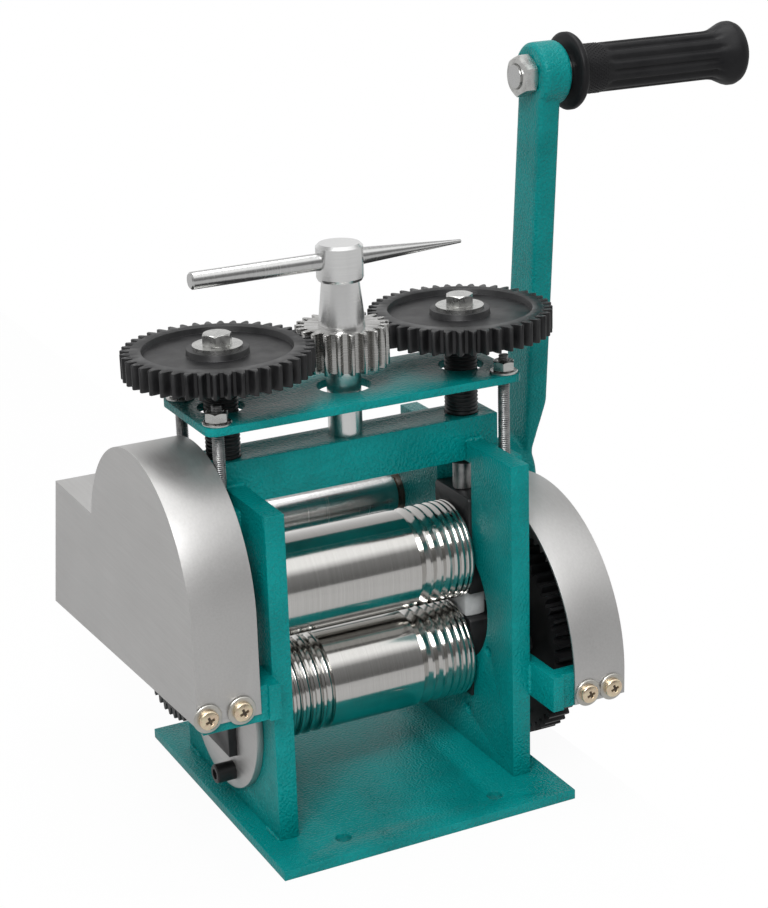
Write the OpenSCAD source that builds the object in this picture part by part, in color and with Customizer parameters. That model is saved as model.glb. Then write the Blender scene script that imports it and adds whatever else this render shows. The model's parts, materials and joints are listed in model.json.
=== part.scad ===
// Hand-cranked bench rolling mill with plain and grooved rolls.
// X runs along the rolls, -Y is the feed side, Z is up and the base stands on z = 0.

/* [Frame] */
// Width of the base plate along the rolls
base_w = 160; // [150:1:200]
// Depth of the base plate
base_d = 170; // [150:1:210]
// Thickness of the base plate
base_t = 5; // [4:0.5:7]
// Clear width between the two side plates
throat_w = 120; // [110:1:128]
// Thickness of each side plate
plate_t = 10; // [8:0.5:11]
// Depth of each side plate
plate_d = 116; // [104:1:126]
// Height of the side plates above the bench
plate_top = 172; // [170:1:182]
// Width of the slot that guides the bearing blocks
slot_w = 36; // [34:0.5:40]
// Radius of the round window between the two rolls
window_r = 33; // [28:0.5:35]
// Radius of the ear that carries the crank shaft
ear_r = 20; // [18:0.5:22]
// Depth of the cross beam
beam_d = 24; // [22:0.5:27]
// Height of the cross beam
beam_h = 22; // [18:0.5:26]
// How deep the cross beam is let into the side plates
beam_sunk = 10; // [6:0.5:12]
// How far the cross beam stands past each side plate
beam_over = 9; // [5:0.5:9.3]
// Radius of the bench bolt holes
bench_hole_r = 4; // [3:0.25:5.5]
// Distance between the bench bolt holes along X
bench_hole_dx = 84; // [70:1:96]
// Distance between the bench bolt holes along Y
bench_hole_dy = 140; // [134:1:146]

/* [Top plate] */
// Length of the top plate along X
top_w = 168; // [160:1:186]
// Depth of the top plate
top_d = 60; // [56:1:72]
// Thickness of the top plate
top_t = 4; // [3:0.5:6]
// Clear height from the side plates to the top plate
top_gap = 32.5; // [28:0.5:34]
// Distance from the studs to the ends of the top plate
stud_out = 7.5; // [7:0.25:9]
// Distance between the studs along Y
stud_dy = 46; // [44:1:48]
// Radius of the studs
stud_r = 3; // [2.5:0.25:3.4]
// Radius of the studs' turned down upper ends
stud_neck_r = 2.5; // [1.8:0.1:2.5]

/* [Rolls] */
// Radius of the rolls
roll_r = 25.5; // [23:0.25:26]
// Length of the roll barrels
roll_len = 115; // [100:1:115]
// Height of the lower roll's axis
lower_z = 56; // [55.5:0.25:58]
// Gap between the rolls at rest
roll_gap = 4; // [3.8:0.1:5]
// Radius of the journals
journal_r = 11; // [9:0.25:12]
// Wall of the bearing bushes
bush_wall = 3; // [2:0.25:4]
// V grooves at the right end of both barrels
groove_count = 7; // [3:1:8]
// Depth of the V groove next to the barrel's end
groove_small = 0.5; // [0.4:0.1:1.2]
// Depth of the innermost V groove
groove_large = 2.6; // [1.5:0.1:2.8]
// Half-round grooves at the left end of the lower barrel
round_count = 7; // [3:1:8]
// Radius of the half-round groove next to the barrel's end
round_small = 1.2; // [0.8:0.1:1.6]
// Radius of the innermost half-round groove
round_large = 2.6; // [1.6:0.1:2.8]
// Flat land between two grooves
groove_land = 1.2; // [0.8:0.1:1.6]

/* [Bearing blocks] */
// Height of the upper block's top above the roll axis
block_over = 32; // [26:0.5:33]
// Depth of the upper block's foot below the roll axis
block_under = 20; // [18:0.5:21]
// Height of the lower block's top above the roll axis
lower_block_over = 21; // [18:0.5:22]
// Depth of the lower block's foot below the roll axis
lower_block_under = 22; // [19:0.5:23]
// How far the upper blocks stand past the side plates
upper_block_out = 2; // [0.5:0.25:4]
// How far the lower blocks stand past the side plates
lower_block_out = 8; // [6:0.25:12]
// Radius of the rubber pads that lift the upper blocks
pad_r = 14; // [9:0.5:16]
// Radius of the retaining flanges
flange_r = 44; // [42:0.5:46]
// Thickness of the retaining flanges
flange_t = 4; // [3:0.25:5]

/* [Screw down] */
// Distance of each pressing screw from the middle
screw_x = 65; // [65:0.5:65.5]
// Radius of the pressing screws
screw_r = 8.5; // [7:0.25:9]
// Radius of the screws' plain tips
tip_r = 5; // [3:0.1:6]
// Length of the screws' plain tips
tip_len = 15; // [10:0.5:18]
// Module of the screw-down gears
top_mod = 2; // [1.9:0.05:2]
// Teeth of the gears on the pressing screws
top_gear_n = 44; // [40:1:44]
// Teeth of the pinion on the handle's spindle
top_pinion_n = 21; // [17:1:21]
// Face width of the gears on the pressing screws
top_gear_w = 12; // [10:0.5:14]
// Face width of the pinion
top_pinion_w = 20; // [19:0.5:24]
// Height of the pinion's foot above the top plate
top_pinion_lift = 11; // [10.5:0.5:16]
// Height of the screw gears' feet above the pinion's foot
top_gear_lift = 6.5; // [6:0.25:7]
// Radius of the spindle
spindle_r = 8.5; // [8:0.25:9.5]
// Radius of the stems that carry the pinion and the screw gears
stem_r = 6; // [5:0.25:7]
// Height of the handle's hub
hub_h = 40; // [36:0.5:50]
// Radius of the handle's hub at its foot
hub_r = 11.5; // [11:0.25:14]
// Radius of the tommy bar
bar_r = 4.2; // [3:0.1:5]
// Length of the tommy bar's plain side, from the middle
bar_left = 77; // [60:1:90]
// Length of the tommy bar's tapered side, from the middle
bar_right = 66; // [60:1:90]

/* [Drive] */
// Module of the drive gears
drive_mod = 2; // [1.9:0.05:2]
// Teeth of the large gear on each roll
bull_n = 52; // [48:1:52]
// Teeth of the pinions on the crank shaft
pinion_n = 16; // [15:1:18]
// Teeth of the idler
idler_n = 14; // [14:1:16]
// Face width of the large gears
bull_w = 12; // [10:0.5:13]
// Face width of the pinions
pinion_w = 16; // [13:0.5:17]
// Height of the crank shaft above the upper roll's axis
crank_rise = 9; // [6:0.25:12]
// Radius of the crank shaft
shaft_r = 9; // [7:0.25:9.5]
// Radius of the idler's axle
idler_axle_r = 6; // [4:0.25:7]
// Distance from the stud lugs to the left large gear
left_gear_off = 7.5; // [5:0.5:8]
// Distance from the right side plate to the large gear
right_gear_off = 20; // [18:0.5:20.5]
// Radius of the round nuts that hold the large gears
gear_nut_r = 16; // [13:0.5:18]
// Thickness of those nuts
gear_nut_t = 6; // [4:0.5:6]

/* [Crank] */
// Length of the crank arm between its axes
arm_len = 221; // [180:1:240]
// Lean of the crank arm towards the feed side, in degrees
arm_lean = 5.15; // [0:0.05:8]
// Distance from the right side plate to the crank arm
arm_off = 64; // [62:0.5:76]
// Thickness of the crank arm
arm_t = 13; // [12:0.5:15]
// Width of the crank arm at its foot
arm_foot_w = 26; // [24:0.5:36]
// How much thinner the crank arm is at its foot
arm_foot_cut = 8; // [4:0.5:9]
// How far the thin foot reaches up the crank arm
arm_foot_len = 16; // [14:1:24]
// Length of the slope from the thin foot to the full thickness
arm_foot_slope = 26; // [10:1:40]
// Width of the crank arm at its head
arm_head_w = 24; // [20:0.5:28]
// Radius of the boss round the crank shaft
arm_boss_r = 19; // [17:0.5:22]
// Radius of the boss round the grip's spindle
arm_eye_r = 16.5; // [14:0.5:19]
// Radius of the grip's spindle
grip_pin_r = 6; // [4:0.25:7]
// Length of the grip
grip_len = 108; // [90:1:130]
// Radius of the grip
grip_r = 12.8; // [11:0.2:15]
// Radius of the flange at the grip's foot
grip_foot_r = 20; // [17:0.5:22]
// Radius of the flange at the grip's end
grip_end_r = 17; // [15:0.5:19]
// Flutes round the grip
flute_count = 12; // [8:1:16]

/* [Covers] */
// Thickness of the cover sheet
sheet_t = 1.2; // [0.8:0.1:2]
// Gap from the studs to the left cover
left_cover_gap = 0.5; // [0.4:0.1:2]
// Depth of the left cover along X
left_cover_w = 32; // [32:0.5:40]
// Radius of the left cover's round top
left_cover_r = 67; // [65:0.5:72]
// Height of the left cover's centre
left_cover_z = 127; // [124:0.5:130]
// Height of the left cover's lower edge at its front
left_cover_foot = 79.5; // [74:0.5:80]
// How much lower that edge is at the rear
left_cover_fall = 13; // [0:0.5:16]
// How far the left cover's rear wall slants out towards its foot
left_cover_rake = 19; // [0:0.5:24]
// Gap from the side plate to the right cover
right_cover_gap = 13; // [12:0.25:14]
// Depth of the right cover along X
right_cover_w = 29; // [29:0.5:38]
// Radius of the right cover's round top
right_cover_r = 80; // [78:0.5:84]
// Height of the right cover's centre
right_cover_z = 60; // [57:0.5:62]
// Height of the right cover's lower edge
right_cover_foot = 49; // [42:0.5:50]
// Distance from the crank shaft to the left cover's rear wall
left_cover_back = 54; // [30:1:60]
// Distance from the crank shaft to the right cover's rear wall
right_cover_back = 26; // [22:1:40]
// Height of the covers' rear roofs above the crank shaft
cover_roof = 22; // [21:0.5:26]
// Distance from the crank shaft forward to the front of those roofs
cover_hump = 29; // [24:0.5:34]
// Height of the lugs that hold the covers
lug_h = 18; // [14:0.5:20]
// Thickness of the lugs
lug_t = 8; // [5:0.5:8.5]

/* [Hidden] */

$fn = 64;
// Room that keeps a cut clear of the face that it goes through
cut = 1;
// Running clearance of a shaft in its bush, and of seated pieces
fit = 0.05;
// Sliding clearance of the upper blocks in their slots
slide_fit = 0.1;
// Free play of a roll between its two blocks
roll_play = 1;
// Backlash of every pair of gears
backlash = 0.35;
// Pressure angle of the teeth
press_angle = 20;
// Height of a tooth outside and inside its pitch circle, in modules
addendum = 1;
dedendum = 1.25;

plate_in = throat_w / 2;
plate_out = plate_in + plate_t;
upper_z = lower_z + 2 * roll_r + roll_gap;
mid_z = (lower_z + upper_z) / 2;
beam_z = plate_top - beam_sunk;
beam_top = beam_z + beam_h;
slot_foot = lower_z - lower_block_under;
block_top = upper_z + block_over;
top_z = plate_top + top_gap;
top_face = top_z + top_t;
stud_x = top_w / 2 - stud_out;
stud_lug_wall = 3;
stud_lug_x = stud_x + stud_r + stud_lug_wall;
stud_lug_h = 16;
stud_lug_w = 14;
stud_lug_z = plate_top - 22;
block_in = roll_len / 2 + roll_play;
bush_r = journal_r + bush_wall;
flange_bolt_r = flange_r - 9.5;
flange_cut = 3;

top_gear_r = top_mod * top_gear_n / 2;
top_pinion_r = top_mod * top_pinion_n / 2;
top_pinion_z = top_face + top_pinion_lift;
top_gear_z = top_pinion_z + top_gear_lift;
hub_z = top_pinion_z + top_pinion_w;
head_h = 18;
bar_z = hub_z + hub_h - 8;
spindle_foot = 14;

bull_r = drive_mod * bull_n / 2;
pinion_r = drive_mod * pinion_n / 2;
idler_r = drive_mod * idler_n / 2;
crank_z = upper_z + crank_rise;
crank_y = sqrt(pow(bull_r + pinion_r, 2) - pow(crank_rise, 2));
crank_bush_r = shaft_r + 3.5;
left_gear_x = -stud_lug_x - left_gear_off - bull_w;
right_gear_x = plate_out + right_gear_off;
pinion_over = (pinion_w - bull_w) / 2;

// The idler sits where its distances to the crank shaft and to the lower roll both fit.
train_len = norm([crank_y, crank_z - lower_z]);
train_dir = [crank_y, crank_z - lower_z] / train_len;
idler_along = (pow(idler_r + bull_r, 2) - pow(idler_r + pinion_r, 2) + pow(train_len, 2))
    / (2 * train_len);
idler_side = sqrt(pow(idler_r + bull_r, 2) - pow(idler_along, 2));
idler_y = train_dir[0] * idler_along - train_dir[1] * idler_side;
idler_z = lower_z + train_dir[1] * idler_along + train_dir[0] * idler_side;

arm_x = plate_out + arm_off;
arm_out = arm_x + arm_t;
arm_foot_out = arm_out - arm_foot_cut;
left_cover_x = -stud_x - stud_r - left_cover_gap - left_cover_w;
right_cover_x = plate_out + right_cover_gap;
crank_left = left_gear_x - pinion_over - 1.5;

body_green = [0.02, 0.47, 0.44];
steel = [0.75, 0.75, 0.75];
sheet = [0.66, 0.65, 0.64];
black = [0.09, 0.09, 0.1];
bronze = [0.66, 0.5, 0.28];
zinc = [0.82, 0.82, 0.8];

// Angle of the involute at a pressure angle, in degrees
function involute(a) = tan(a) * 180 / PI - a;

// Half the angle that a tooth fills at one radius
function tooth_half(n, m, r) =
    let (pitch = m * n / 2, base = pitch * cos(press_angle))
    90 / n - backlash / 4 / pitch * 180 / PI + involute(press_angle)
        - involute(acos(base / max(r, base)));

// Outline of a gear, with the middle of a tooth on the X axis
function gear_points(n, m) =
    let (pitch = m * n / 2,
        radii = [pitch - dedendum * m, pitch - 0.5 * m, pitch + 0.3 * m, pitch + addendum * m])
    [for (i = [0 : n - 1], side = [-1, 1], k = [0 : 3])
        let (r = radii[side < 0 ? k : 3 - k], a = i * 360 / n + side * tooth_half(n, m, r))
        r * [cos(a), sin(a)]];

// Turn of a gear that meshes with a neighbour: at the angle towards it, the two teeth alternate
function mesh_turn(towards, m, own_r, other_r, other_turn) =
    towards + (other_r * (towards + 180 - other_turn) - 90 * m) / own_r;

module gear(n, m, width, bore, turn) {
    difference() {
        linear_extrude(width) rotate(turn) polygon(gear_points(n, m));
        translate([0, 0, -cut]) cylinder(h = width + 2 * cut, r = bore);
    }
}

// Lay a piece drawn about Z on an axis along X, at height z and depth y, from x onwards
module along_x(x, y, z) {
    translate([x, y, z]) rotate([90, 0, 90]) children();
}

module hex_nut(flats, height, bore) {
    difference() {
        cylinder(h = height, r = flats / sqrt(3), $fn = 6);
        translate([0, 0, -cut]) cylinder(h = height + 2 * cut, r = bore);
    }
}

module ring(outer, bore, height) {
    difference() {
        cylinder(h = height, r = outer);
        translate([0, 0, -cut]) cylinder(h = height + 2 * cut, r = bore);
    }
}

// Put one copy at each stud
module at_studs(z) {
    for (sx = [-1, 1], sy = [-1, 1])
        translate([sx * stud_x, sy * stud_dy / 2, z]) children();
}

module base_plate() {
    color(body_green) difference() {
        translate([-base_w / 2, -base_d / 2, 0]) cube([base_w, base_d, base_t]);
        for (sx = [-1, 1], sy = [-1, 1])
            translate([sx * bench_hole_dx / 2, sy * bench_hole_dy / 2, -cut])
                cylinder(h = base_t + 2 * cut, r = bench_hole_r);
    }
}

// Outline of a side plate, seen along X
module side_outline() {
    shoulder = 12;
    translate([-plate_d / 2, base_t]) square([plate_d, plate_top - base_t]);
    translate([crank_y, crank_z]) circle(ear_r);
    polygon([
        [plate_d / 2 - cut, crank_z + ear_r + shoulder], [crank_y, crank_z + ear_r],
        [crank_y, crank_z - ear_r], [plate_d / 2 - cut, crank_z - ear_r - shoulder]]);
}

// Places of the flange screws round the lower roll's axis
flange_spots = [for (a = [165, -110, 15]) flange_bolt_r * [cos(a), sin(a)]];

module side_plate() {
    difference() {
        union() {
            along_x(plate_in, 0, 0) linear_extrude(plate_t) side_outline();
            for (sy = [-1, 1])
                translate([plate_out - cut, sy * stud_dy / 2 - stud_lug_w / 2, stud_lug_z])
                    cube([stud_lug_x - plate_out + cut, stud_lug_w, stud_lug_h]);
        }
        translate([plate_in - cut, -slot_w / 2, slot_foot])
            cube([plate_t + 2 * cut, slot_w, beam_z - slot_foot]);
        translate([plate_in - cut, -beam_d / 2, beam_z - cut])
            cube([plate_t + beam_over, beam_d, beam_h]);
        along_x(plate_in - cut, 0, mid_z) cylinder(h = plate_t + 2 * cut, r = window_r);
        along_x(plate_in - cut, crank_y, crank_z)
            cylinder(h = plate_t + 2 * cut, r = crank_bush_r + fit);
        for (spot = flange_spots)
            along_x(plate_in - cut, spot[0], lower_z + spot[1])
                cylinder(h = plate_t + 2 * cut, r = flange_screw_r + fit);
        for (sy = [-1, 1])
            translate([stud_x, sy * stud_dy / 2, stud_lug_z - cut])
                cylinder(h = plate_top - stud_lug_z + 2 * cut, r = stud_r + fit);
    }
}
flange_screw_r = 3;

module side_plate_left() {
    color(body_green) mirror([1, 0, 0]) side_plate();
}

module side_plate_right() {
    color(body_green) difference() {
        side_plate();
        along_x(plate_in - cut, idler_y, idler_z)
            cylinder(h = plate_t + 2 * cut, r = idler_axle_r + fit);
    }
}

module cross_beam() {
    half = plate_out + beam_over;
    color(body_green) difference() {
        translate([-half, -beam_d / 2, beam_z]) cube([2 * half, beam_d, beam_h]);
        for (sx = [-1, 1])
            translate([sx * screw_x, 0, beam_z - cut])
                cylinder(h = beam_h + 2 * cut, r = screw_r + fit);
        translate([0, 0, beam_top - spindle_foot])
            cylinder(h = spindle_foot + cut, r = stem_r + fit);
    }
}

module top_plate() {
    corner = 5;
    screw_room = 3;
    spindle_room = 5;
    color(body_green) difference() {
        translate([0, 0, top_z]) linear_extrude(top_t) {
            square([top_w - 2 * corner, top_d], center = true);
            square([top_w, top_d - 2 * corner], center = true);
            for (sx = [-1, 1], sy = [-1, 1])
                translate([sx * (top_w / 2 - corner), sy * (top_d / 2 - corner)]) circle(corner);
        }
        at_studs(top_z - cut) cylinder(h = top_t + 2 * cut, r = stud_neck_r + fit);
        for (x = [-screw_x, 0, screw_x])
            translate([x, 0, top_z - cut])
                cylinder(h = top_t + 2 * cut,
                    r = x == 0 ? spindle_r + spindle_room : screw_r + screw_room);
    }
}

washer_t = 1.2;
stud_nut_h = 5;
stud_nut_flats = 10;

module top_studs() {
    end = 3;
    color(steel) at_studs(stud_lug_z) {
        cylinder(h = top_z - stud_lug_z, r = stud_r);
        cylinder(h = top_face + washer_t + stud_nut_h + end - stud_lug_z, r = stud_neck_r);
    }
}

module stud_washers() {
    color(zinc) at_studs(top_face) ring(stud_r + 4, stud_neck_r + fit, washer_t);
}

module stud_nuts() {
    color(zinc) at_studs(top_face + washer_t)
        hex_nut(stud_nut_flats, stud_nut_h, stud_neck_r + fit);
}

// A bearing block for the right side, bored for its bush
module bearing_block(axis_z, foot_z, head_z, outer_x, side_gap) {
    bevel = 1.5;
    half = slot_w / 2 - side_gap;
    difference() {
        along_x(block_in, 0, 0) linear_extrude(outer_x - block_in) polygon([
            [-half, foot_z], [half, foot_z], [half, head_z - bevel], [half - bevel, head_z],
            [-half + bevel, head_z], [-half, head_z - bevel]]);
        along_x(block_in - cut, 0, axis_z)
            cylinder(h = outer_x - block_in + 2 * cut, r = bush_r + fit);
    }
}

module lower_block() {
    bearing_block(lower_z, slot_foot, lower_z + lower_block_over, plate_out + lower_block_out, 0);
}

module lower_block_left() {
    color(black) mirror([1, 0, 0]) lower_block();
}

module lower_block_right() {
    color(black) lower_block();
}

module upper_block() {
    bearing_block(upper_z, upper_z - block_under, block_top, plate_out + upper_block_out, slide_fit);
}

module upper_block_left() {
    color(black) mirror([1, 0, 0]) upper_block();
}

module upper_block_right() {
    color(black) upper_block();
}

module bush(axis_z, outer_x) {
    along_x(block_in, 0, axis_z) ring(bush_r, journal_r + fit, outer_x - block_in);
}

module lower_bush_left() {
    color(bronze) mirror([1, 0, 0]) bush(lower_z, plate_out + lower_block_out);
}

module lower_bush_right() {
    color(bronze) bush(lower_z, plate_out + lower_block_out);
}

module upper_bush_left() {
    color(bronze) mirror([1, 0, 0]) bush(upper_z, plate_out + upper_block_out);
}

module upper_bush_right() {
    color(bronze) bush(upper_z, plate_out + upper_block_out);
}

// A retaining flange for the right side, open round the lower block
module flange() {
    difference() {
        along_x(plate_out, 0, lower_z) cylinder(h = flange_t, r = flange_r);
        translate([plate_out - cut, -slot_w / 2 - fit, slot_foot - fit])
            cube([flange_t + 2 * cut, slot_w + 2 * fit, flange_r * 2]);
        translate([plate_out - cut, -flange_r, mid_z - flange_cut])
            cube([flange_t + 2 * cut, 2 * flange_r, flange_r]);
        for (spot = flange_spots)
            along_x(plate_out - cut, spot[0], lower_z + spot[1])
                cylinder(h = flange_t + 2 * cut, r = flange_screw_r + fit);
    }
}

module flange_left() {
    color(sheet) mirror([1, 0, 0]) flange();
}

module flange_right() {
    color(sheet) flange();
}

module flange_screws() {
    head_t = 10;
    head_r = 4.8;
    color(black) for (sx = [0, 1], spot = flange_spots) mirror([sx, 0, 0]) {
        along_x(plate_in + 1, spot[0], lower_z + spot[1])
            cylinder(h = plate_t - 1 + flange_t + head_t / 2, r = flange_screw_r);
        along_x(plate_out + flange_t, spot[0], lower_z + spot[1]) cylinder(h = head_t, r = head_r);
    }
}

module crank_bush() {
    along_x(plate_in, crank_y, crank_z) ring(crank_bush_r, shaft_r + fit, plate_t + 2);
}

module crank_bush_left() {
    color(bronze) mirror([1, 0, 0]) crank_bush();
}

module crank_bush_right() {
    color(bronze) crank_bush();
}

module lift_pad() {
    foot = lower_z + lower_block_over;
    translate([(block_in + plate_out) / 2, 0, foot])
        intersection() {
            cylinder(h = upper_z - block_under - foot, r = pad_r);
            translate([block_in - (block_in + plate_out) / 2, -pad_r, 0])
                cube([plate_out - block_in, 2 * pad_r, upper_z]);
        }
}

module lift_pad_left() {
    color(zinc) mirror([1, 0, 0]) lift_pad();
}

module lift_pad_right() {
    color(zinc) lift_pad();
}

// Outline of a cover seen along X, drawn in from its outer face by a wall: its lower edge falls
// towards the rear, its rear wall slants out by a rake and a raised roof clears the crank pinion
module cover_outline(radius, centre_z, foot_z, back_y, fall, rake, wall) {
    roof_z = crank_z + cover_roof;
    rear_h = roof_z - foot_z + fall;
    rear_wall = wall * norm([rake, rear_h]) / rear_h;
    drop = wall > 0 ? cut : 0;
    front_y = wall - radius;
    hump_y = crank_y - cover_hump + wall;
    intersection() {
        translate([0, centre_z]) circle(radius - wall, $fn = 128);
        translate([-radius, centre_z - cut]) square([2 * radius, radius + cut]);
    }
    polygon([
        [front_y, foot_z - drop],
        [back_y + rake * (1 + drop / rear_h) - rear_wall, foot_z - fall - drop],
        [back_y + rake * wall / rear_h - rear_wall, roof_z - wall],
        [hump_y, roof_z - wall], [hump_y, centre_z], [front_y, centre_z]]);
}

// A cover from x onwards: the closed face is at the outer end, the lower edge is open
module cover(x, width, open_first, radius, centre_z, foot_z, back_y, fall, rake) {
    difference() {
        along_x(x, 0, 0) linear_extrude(width)
            cover_outline(radius, centre_z, foot_z, back_y, fall, rake, 0);
        along_x(open_first ? x - cut : x + sheet_t, 0, 0) linear_extrude(width - sheet_t + cut)
            cover_outline(radius, centre_z, foot_z, back_y, fall, rake, sheet_t);
    }
}

cover_screw_r = 2.5;
left_screw_x = [left_cover_x + left_cover_w - 10, left_cover_x + left_cover_w - 27];
right_screw_x = [plate_out + right_cover_gap + 7, plate_out + right_cover_gap + 21];
left_screw_z = left_cover_foot + 4.5;
right_screw_z = right_cover_foot + 5.5;

// A hole, or what fills it, through the front of a cover at each of its screws
module at_cover_screws(places, front_y, z) {
    for (x = places) translate([x, front_y, z]) rotate([90, 0, 0]) children();
}

module left_cover() {
    color(sheet) difference() {
        cover(left_cover_x, left_cover_w, false, left_cover_r, left_cover_z, left_cover_foot,
            crank_y + left_cover_back, left_cover_fall, left_cover_rake);
        at_cover_screws(left_screw_x, -left_cover_r + sheet_t + cut, left_screw_z)
            cylinder(h = sheet_t + 2 * cut, r = cover_screw_r + fit);
    }
}

module right_cover() {
    shaft_room = 2;
    color(sheet) difference() {
        cover(right_cover_x, right_cover_w, true, right_cover_r, right_cover_z, right_cover_foot,
            crank_y + right_cover_back, 0, 0);
        at_cover_screws(right_screw_x, -right_cover_r + sheet_t + cut, right_screw_z)
            cylinder(h = sheet_t + 2 * cut, r = cover_screw_r + fit);
        along_x(right_cover_x + right_cover_w - sheet_t - cut, crank_y, crank_z)
            cylinder(h = sheet_t + 2 * cut, r = shaft_r + shaft_room);
    }
}

// An angled lug from the right side plate to the inner face of a cover's front, whose round part
// begins at centre_z
module cover_lug(front_y, centre_z, screw_z, foot_z, end_x, places) {
    tab_t = 6;
    tab_over = 2;
    tab_back = flange_r + 1;
    difference() {
        union() {
            translate([plate_out, front_y - tab_over, foot_z])
                cube([tab_t, tab_over - tab_back - front_y, lug_h]);
            intersection() {
                translate([plate_out, front_y, foot_z]) cube([end_x - plate_out, lug_t, lug_h]);
                along_x(plate_out - cut, 0, centre_z) linear_extrude(end_x) {
                    circle(-front_y, $fn = 128);
                    translate([front_y, -centre_z]) square([-front_y, centre_z]);
                }
            }
        }
        at_cover_screws(places, front_y + lug_t + cut, screw_z)
            cylinder(h = lug_t + 2 * cut, r = cover_screw_r + fit);
    }
}

lug_room = 3;

module left_cover_lug() {
    color(body_green) mirror([1, 0, 0])
        cover_lug(-left_cover_r + sheet_t, left_cover_z, left_screw_z, left_screw_z - lug_h / 2,
            -left_cover_x - lug_room, -left_screw_x);
}

module right_cover_lug() {
    color(body_green) cover_lug(-right_cover_r + sheet_t, right_cover_z, right_screw_z,
        right_cover_foot - 0.5, right_cover_x + right_cover_w - lug_room, right_screw_x);
}

cover_washer_t = 1.2;

module cover_washer() {
    ring(cover_screw_r + 4.5, cover_screw_r + fit, cover_washer_t);
}

module cover_washers() {
    color(zinc) {
        at_cover_screws(left_screw_x, -left_cover_r, left_screw_z) cover_washer();
        at_cover_screws(right_screw_x, -right_cover_r, right_screw_z) cover_washer();
    }
}

// A pan head screw that points back from the face of its washer
module cover_screw() {
    head_r = 4.4;
    head_t = 3.2;
    length = cover_washer_t + sheet_t + lug_t;
    translate([0, 0, cover_washer_t - length]) cylinder(h = length + head_t / 2, r = cover_screw_r);
    translate([0, 0, cover_washer_t]) rotate_extrude() polygon([
        [0, 0], [head_r, 0], [head_r, head_t * 0.45], [head_r * 0.8, head_t * 0.85],
        [head_r * 0.5, head_t], [0, head_t]]);
}

module cover_screws() {
    color(bronze) {
        at_cover_screws(left_screw_x, -left_cover_r, left_screw_z) cover_screw();
        at_cover_screws(right_screw_x, -right_cover_r, right_screw_z) cover_screw();
    }
}

module idler_axle() {
    head_t = 3;
    head_over = 3;
    collar_room = 0.3;
    end = right_gear_x + bull_w + collar_room;
    color(steel) {
        along_x(plate_in, idler_y, idler_z) cylinder(h = end - plate_in, r = idler_axle_r);
        along_x(plate_out, idler_y, idler_z)
            cylinder(h = right_gear_off - collar_room, r = idler_axle_r + 2.5);
        along_x(end, idler_y, idler_z) cylinder(h = head_t, r = idler_axle_r + head_over);
    }
}

module handle_spindle() {
    grip_in_hub = 17;
    seat = 0.1;
    color(steel) {
        translate([0, 0, beam_top + seat]) cylinder(h = top_pinion_z - beam_top - seat, r = spindle_r);
        translate([0, 0, beam_top - spindle_foot + seat])
            cylinder(h = hub_z + grip_in_hub - beam_top + spindle_foot - seat, r = stem_r);
    }
}

module handle_pinion() {
    color(steel) translate([0, 0, top_pinion_z])
        gear(top_pinion_n, top_mod, top_pinion_w, stem_r + fit, 0);
}

module handle_hub() {
    socket = 17.5;
    neck_r = hub_r * 0.8;
    bevel = 1.5;
    waist = hub_h - head_h;
    color(steel) difference() {
        translate([0, 0, hub_z]) rotate_extrude() polygon([
            [0, 0], [hub_r, 0], [neck_r, waist], [hub_r - bevel / 2, waist], [hub_r, waist + bevel],
            [hub_r, hub_h - bevel], [hub_r - bevel, hub_h], [0, hub_h]]);
        translate([0, 0, hub_z - cut]) cylinder(h = socket + cut, r = stem_r + fit);
        along_x(-hub_r - cut, 0, bar_z) cylinder(h = 2 * (hub_r + cut), r = bar_r + fit);
    }
}

module tommy_bar() {
    point_r = 0.9;
    bevel = 0.8;
    color(steel) along_x(0, 0, bar_z) rotate_extrude() polygon([
        [0, -bar_left], [bar_r - bevel, -bar_left], [bar_r, -bar_left + bevel], [bar_r, hub_r],
        [point_r, bar_right], [0, bar_right]]);
}

bolt_r = 4;
bolt_depth = 15;
gear_washer_t = 1.5;

module press_screw(sx) {
    tip_z = block_top;
    color(black) difference() {
        union() {
            translate([sx * screw_x, 0, tip_z]) cylinder(h = tip_len, r = tip_r);
            translate([sx * screw_x, 0, tip_z + tip_len])
                cylinder(h = top_gear_z - tip_z - tip_len, r = screw_r);
            translate([sx * screw_x, 0, tip_z + tip_len])
                cylinder(h = top_gear_z + top_gear_w - tip_z - tip_len, r = stem_r);
        }
        translate([sx * screw_x, 0, top_gear_z + top_gear_w - bolt_depth])
            cylinder(h = bolt_depth + cut, r = bolt_r + fit);
    }
}

module press_screw_left() {
    press_screw(-1);
}

module press_screw_right() {
    press_screw(1);
}

// A gear with a sunk web between its rim and its hub
module screw_gear(sx) {
    rim = 8;
    web_sunk = 3;
    hub = 15;
    turn = mesh_turn(sx > 0 ? 180 : 0, top_mod, top_gear_r, top_pinion_r, 0);
    color(black) translate([sx * screw_x, 0, top_gear_z]) difference() {
        gear(top_gear_n, top_mod, top_gear_w, stem_r + fit, turn);
        translate([0, 0, top_gear_w - web_sunk]) ring(top_gear_r - rim, hub, web_sunk + cut);
    }
}

module screw_gear_left() {
    screw_gear(-1);
}

module screw_gear_right() {
    screw_gear(1);
}

module gear_washer(sx) {
    color(zinc) translate([sx * screw_x, 0, top_gear_z + top_gear_w])
        ring(12, bolt_r + fit, gear_washer_t);
}

module gear_washer_left() {
    gear_washer(-1);
}

module gear_washer_right() {
    gear_washer(1);
}

module gear_bolt(sx) {
    head_flats = 13;
    head_h = 5.5;
    shank = bolt_depth - 1;
    color(zinc) translate([sx * screw_x, 0, top_gear_z + top_gear_w + gear_washer_t]) {
        cylinder(h = head_h, r = head_flats / sqrt(3), $fn = 6);
        translate([0, 0, -gear_washer_t - shank])
            cylinder(h = shank + gear_washer_t + head_h / 2, r = bolt_r);
    }
}

module gear_bolt_left() {
    gear_bolt(-1);
}

module gear_bolt_right() {
    gear_bolt(1);
}

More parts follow.
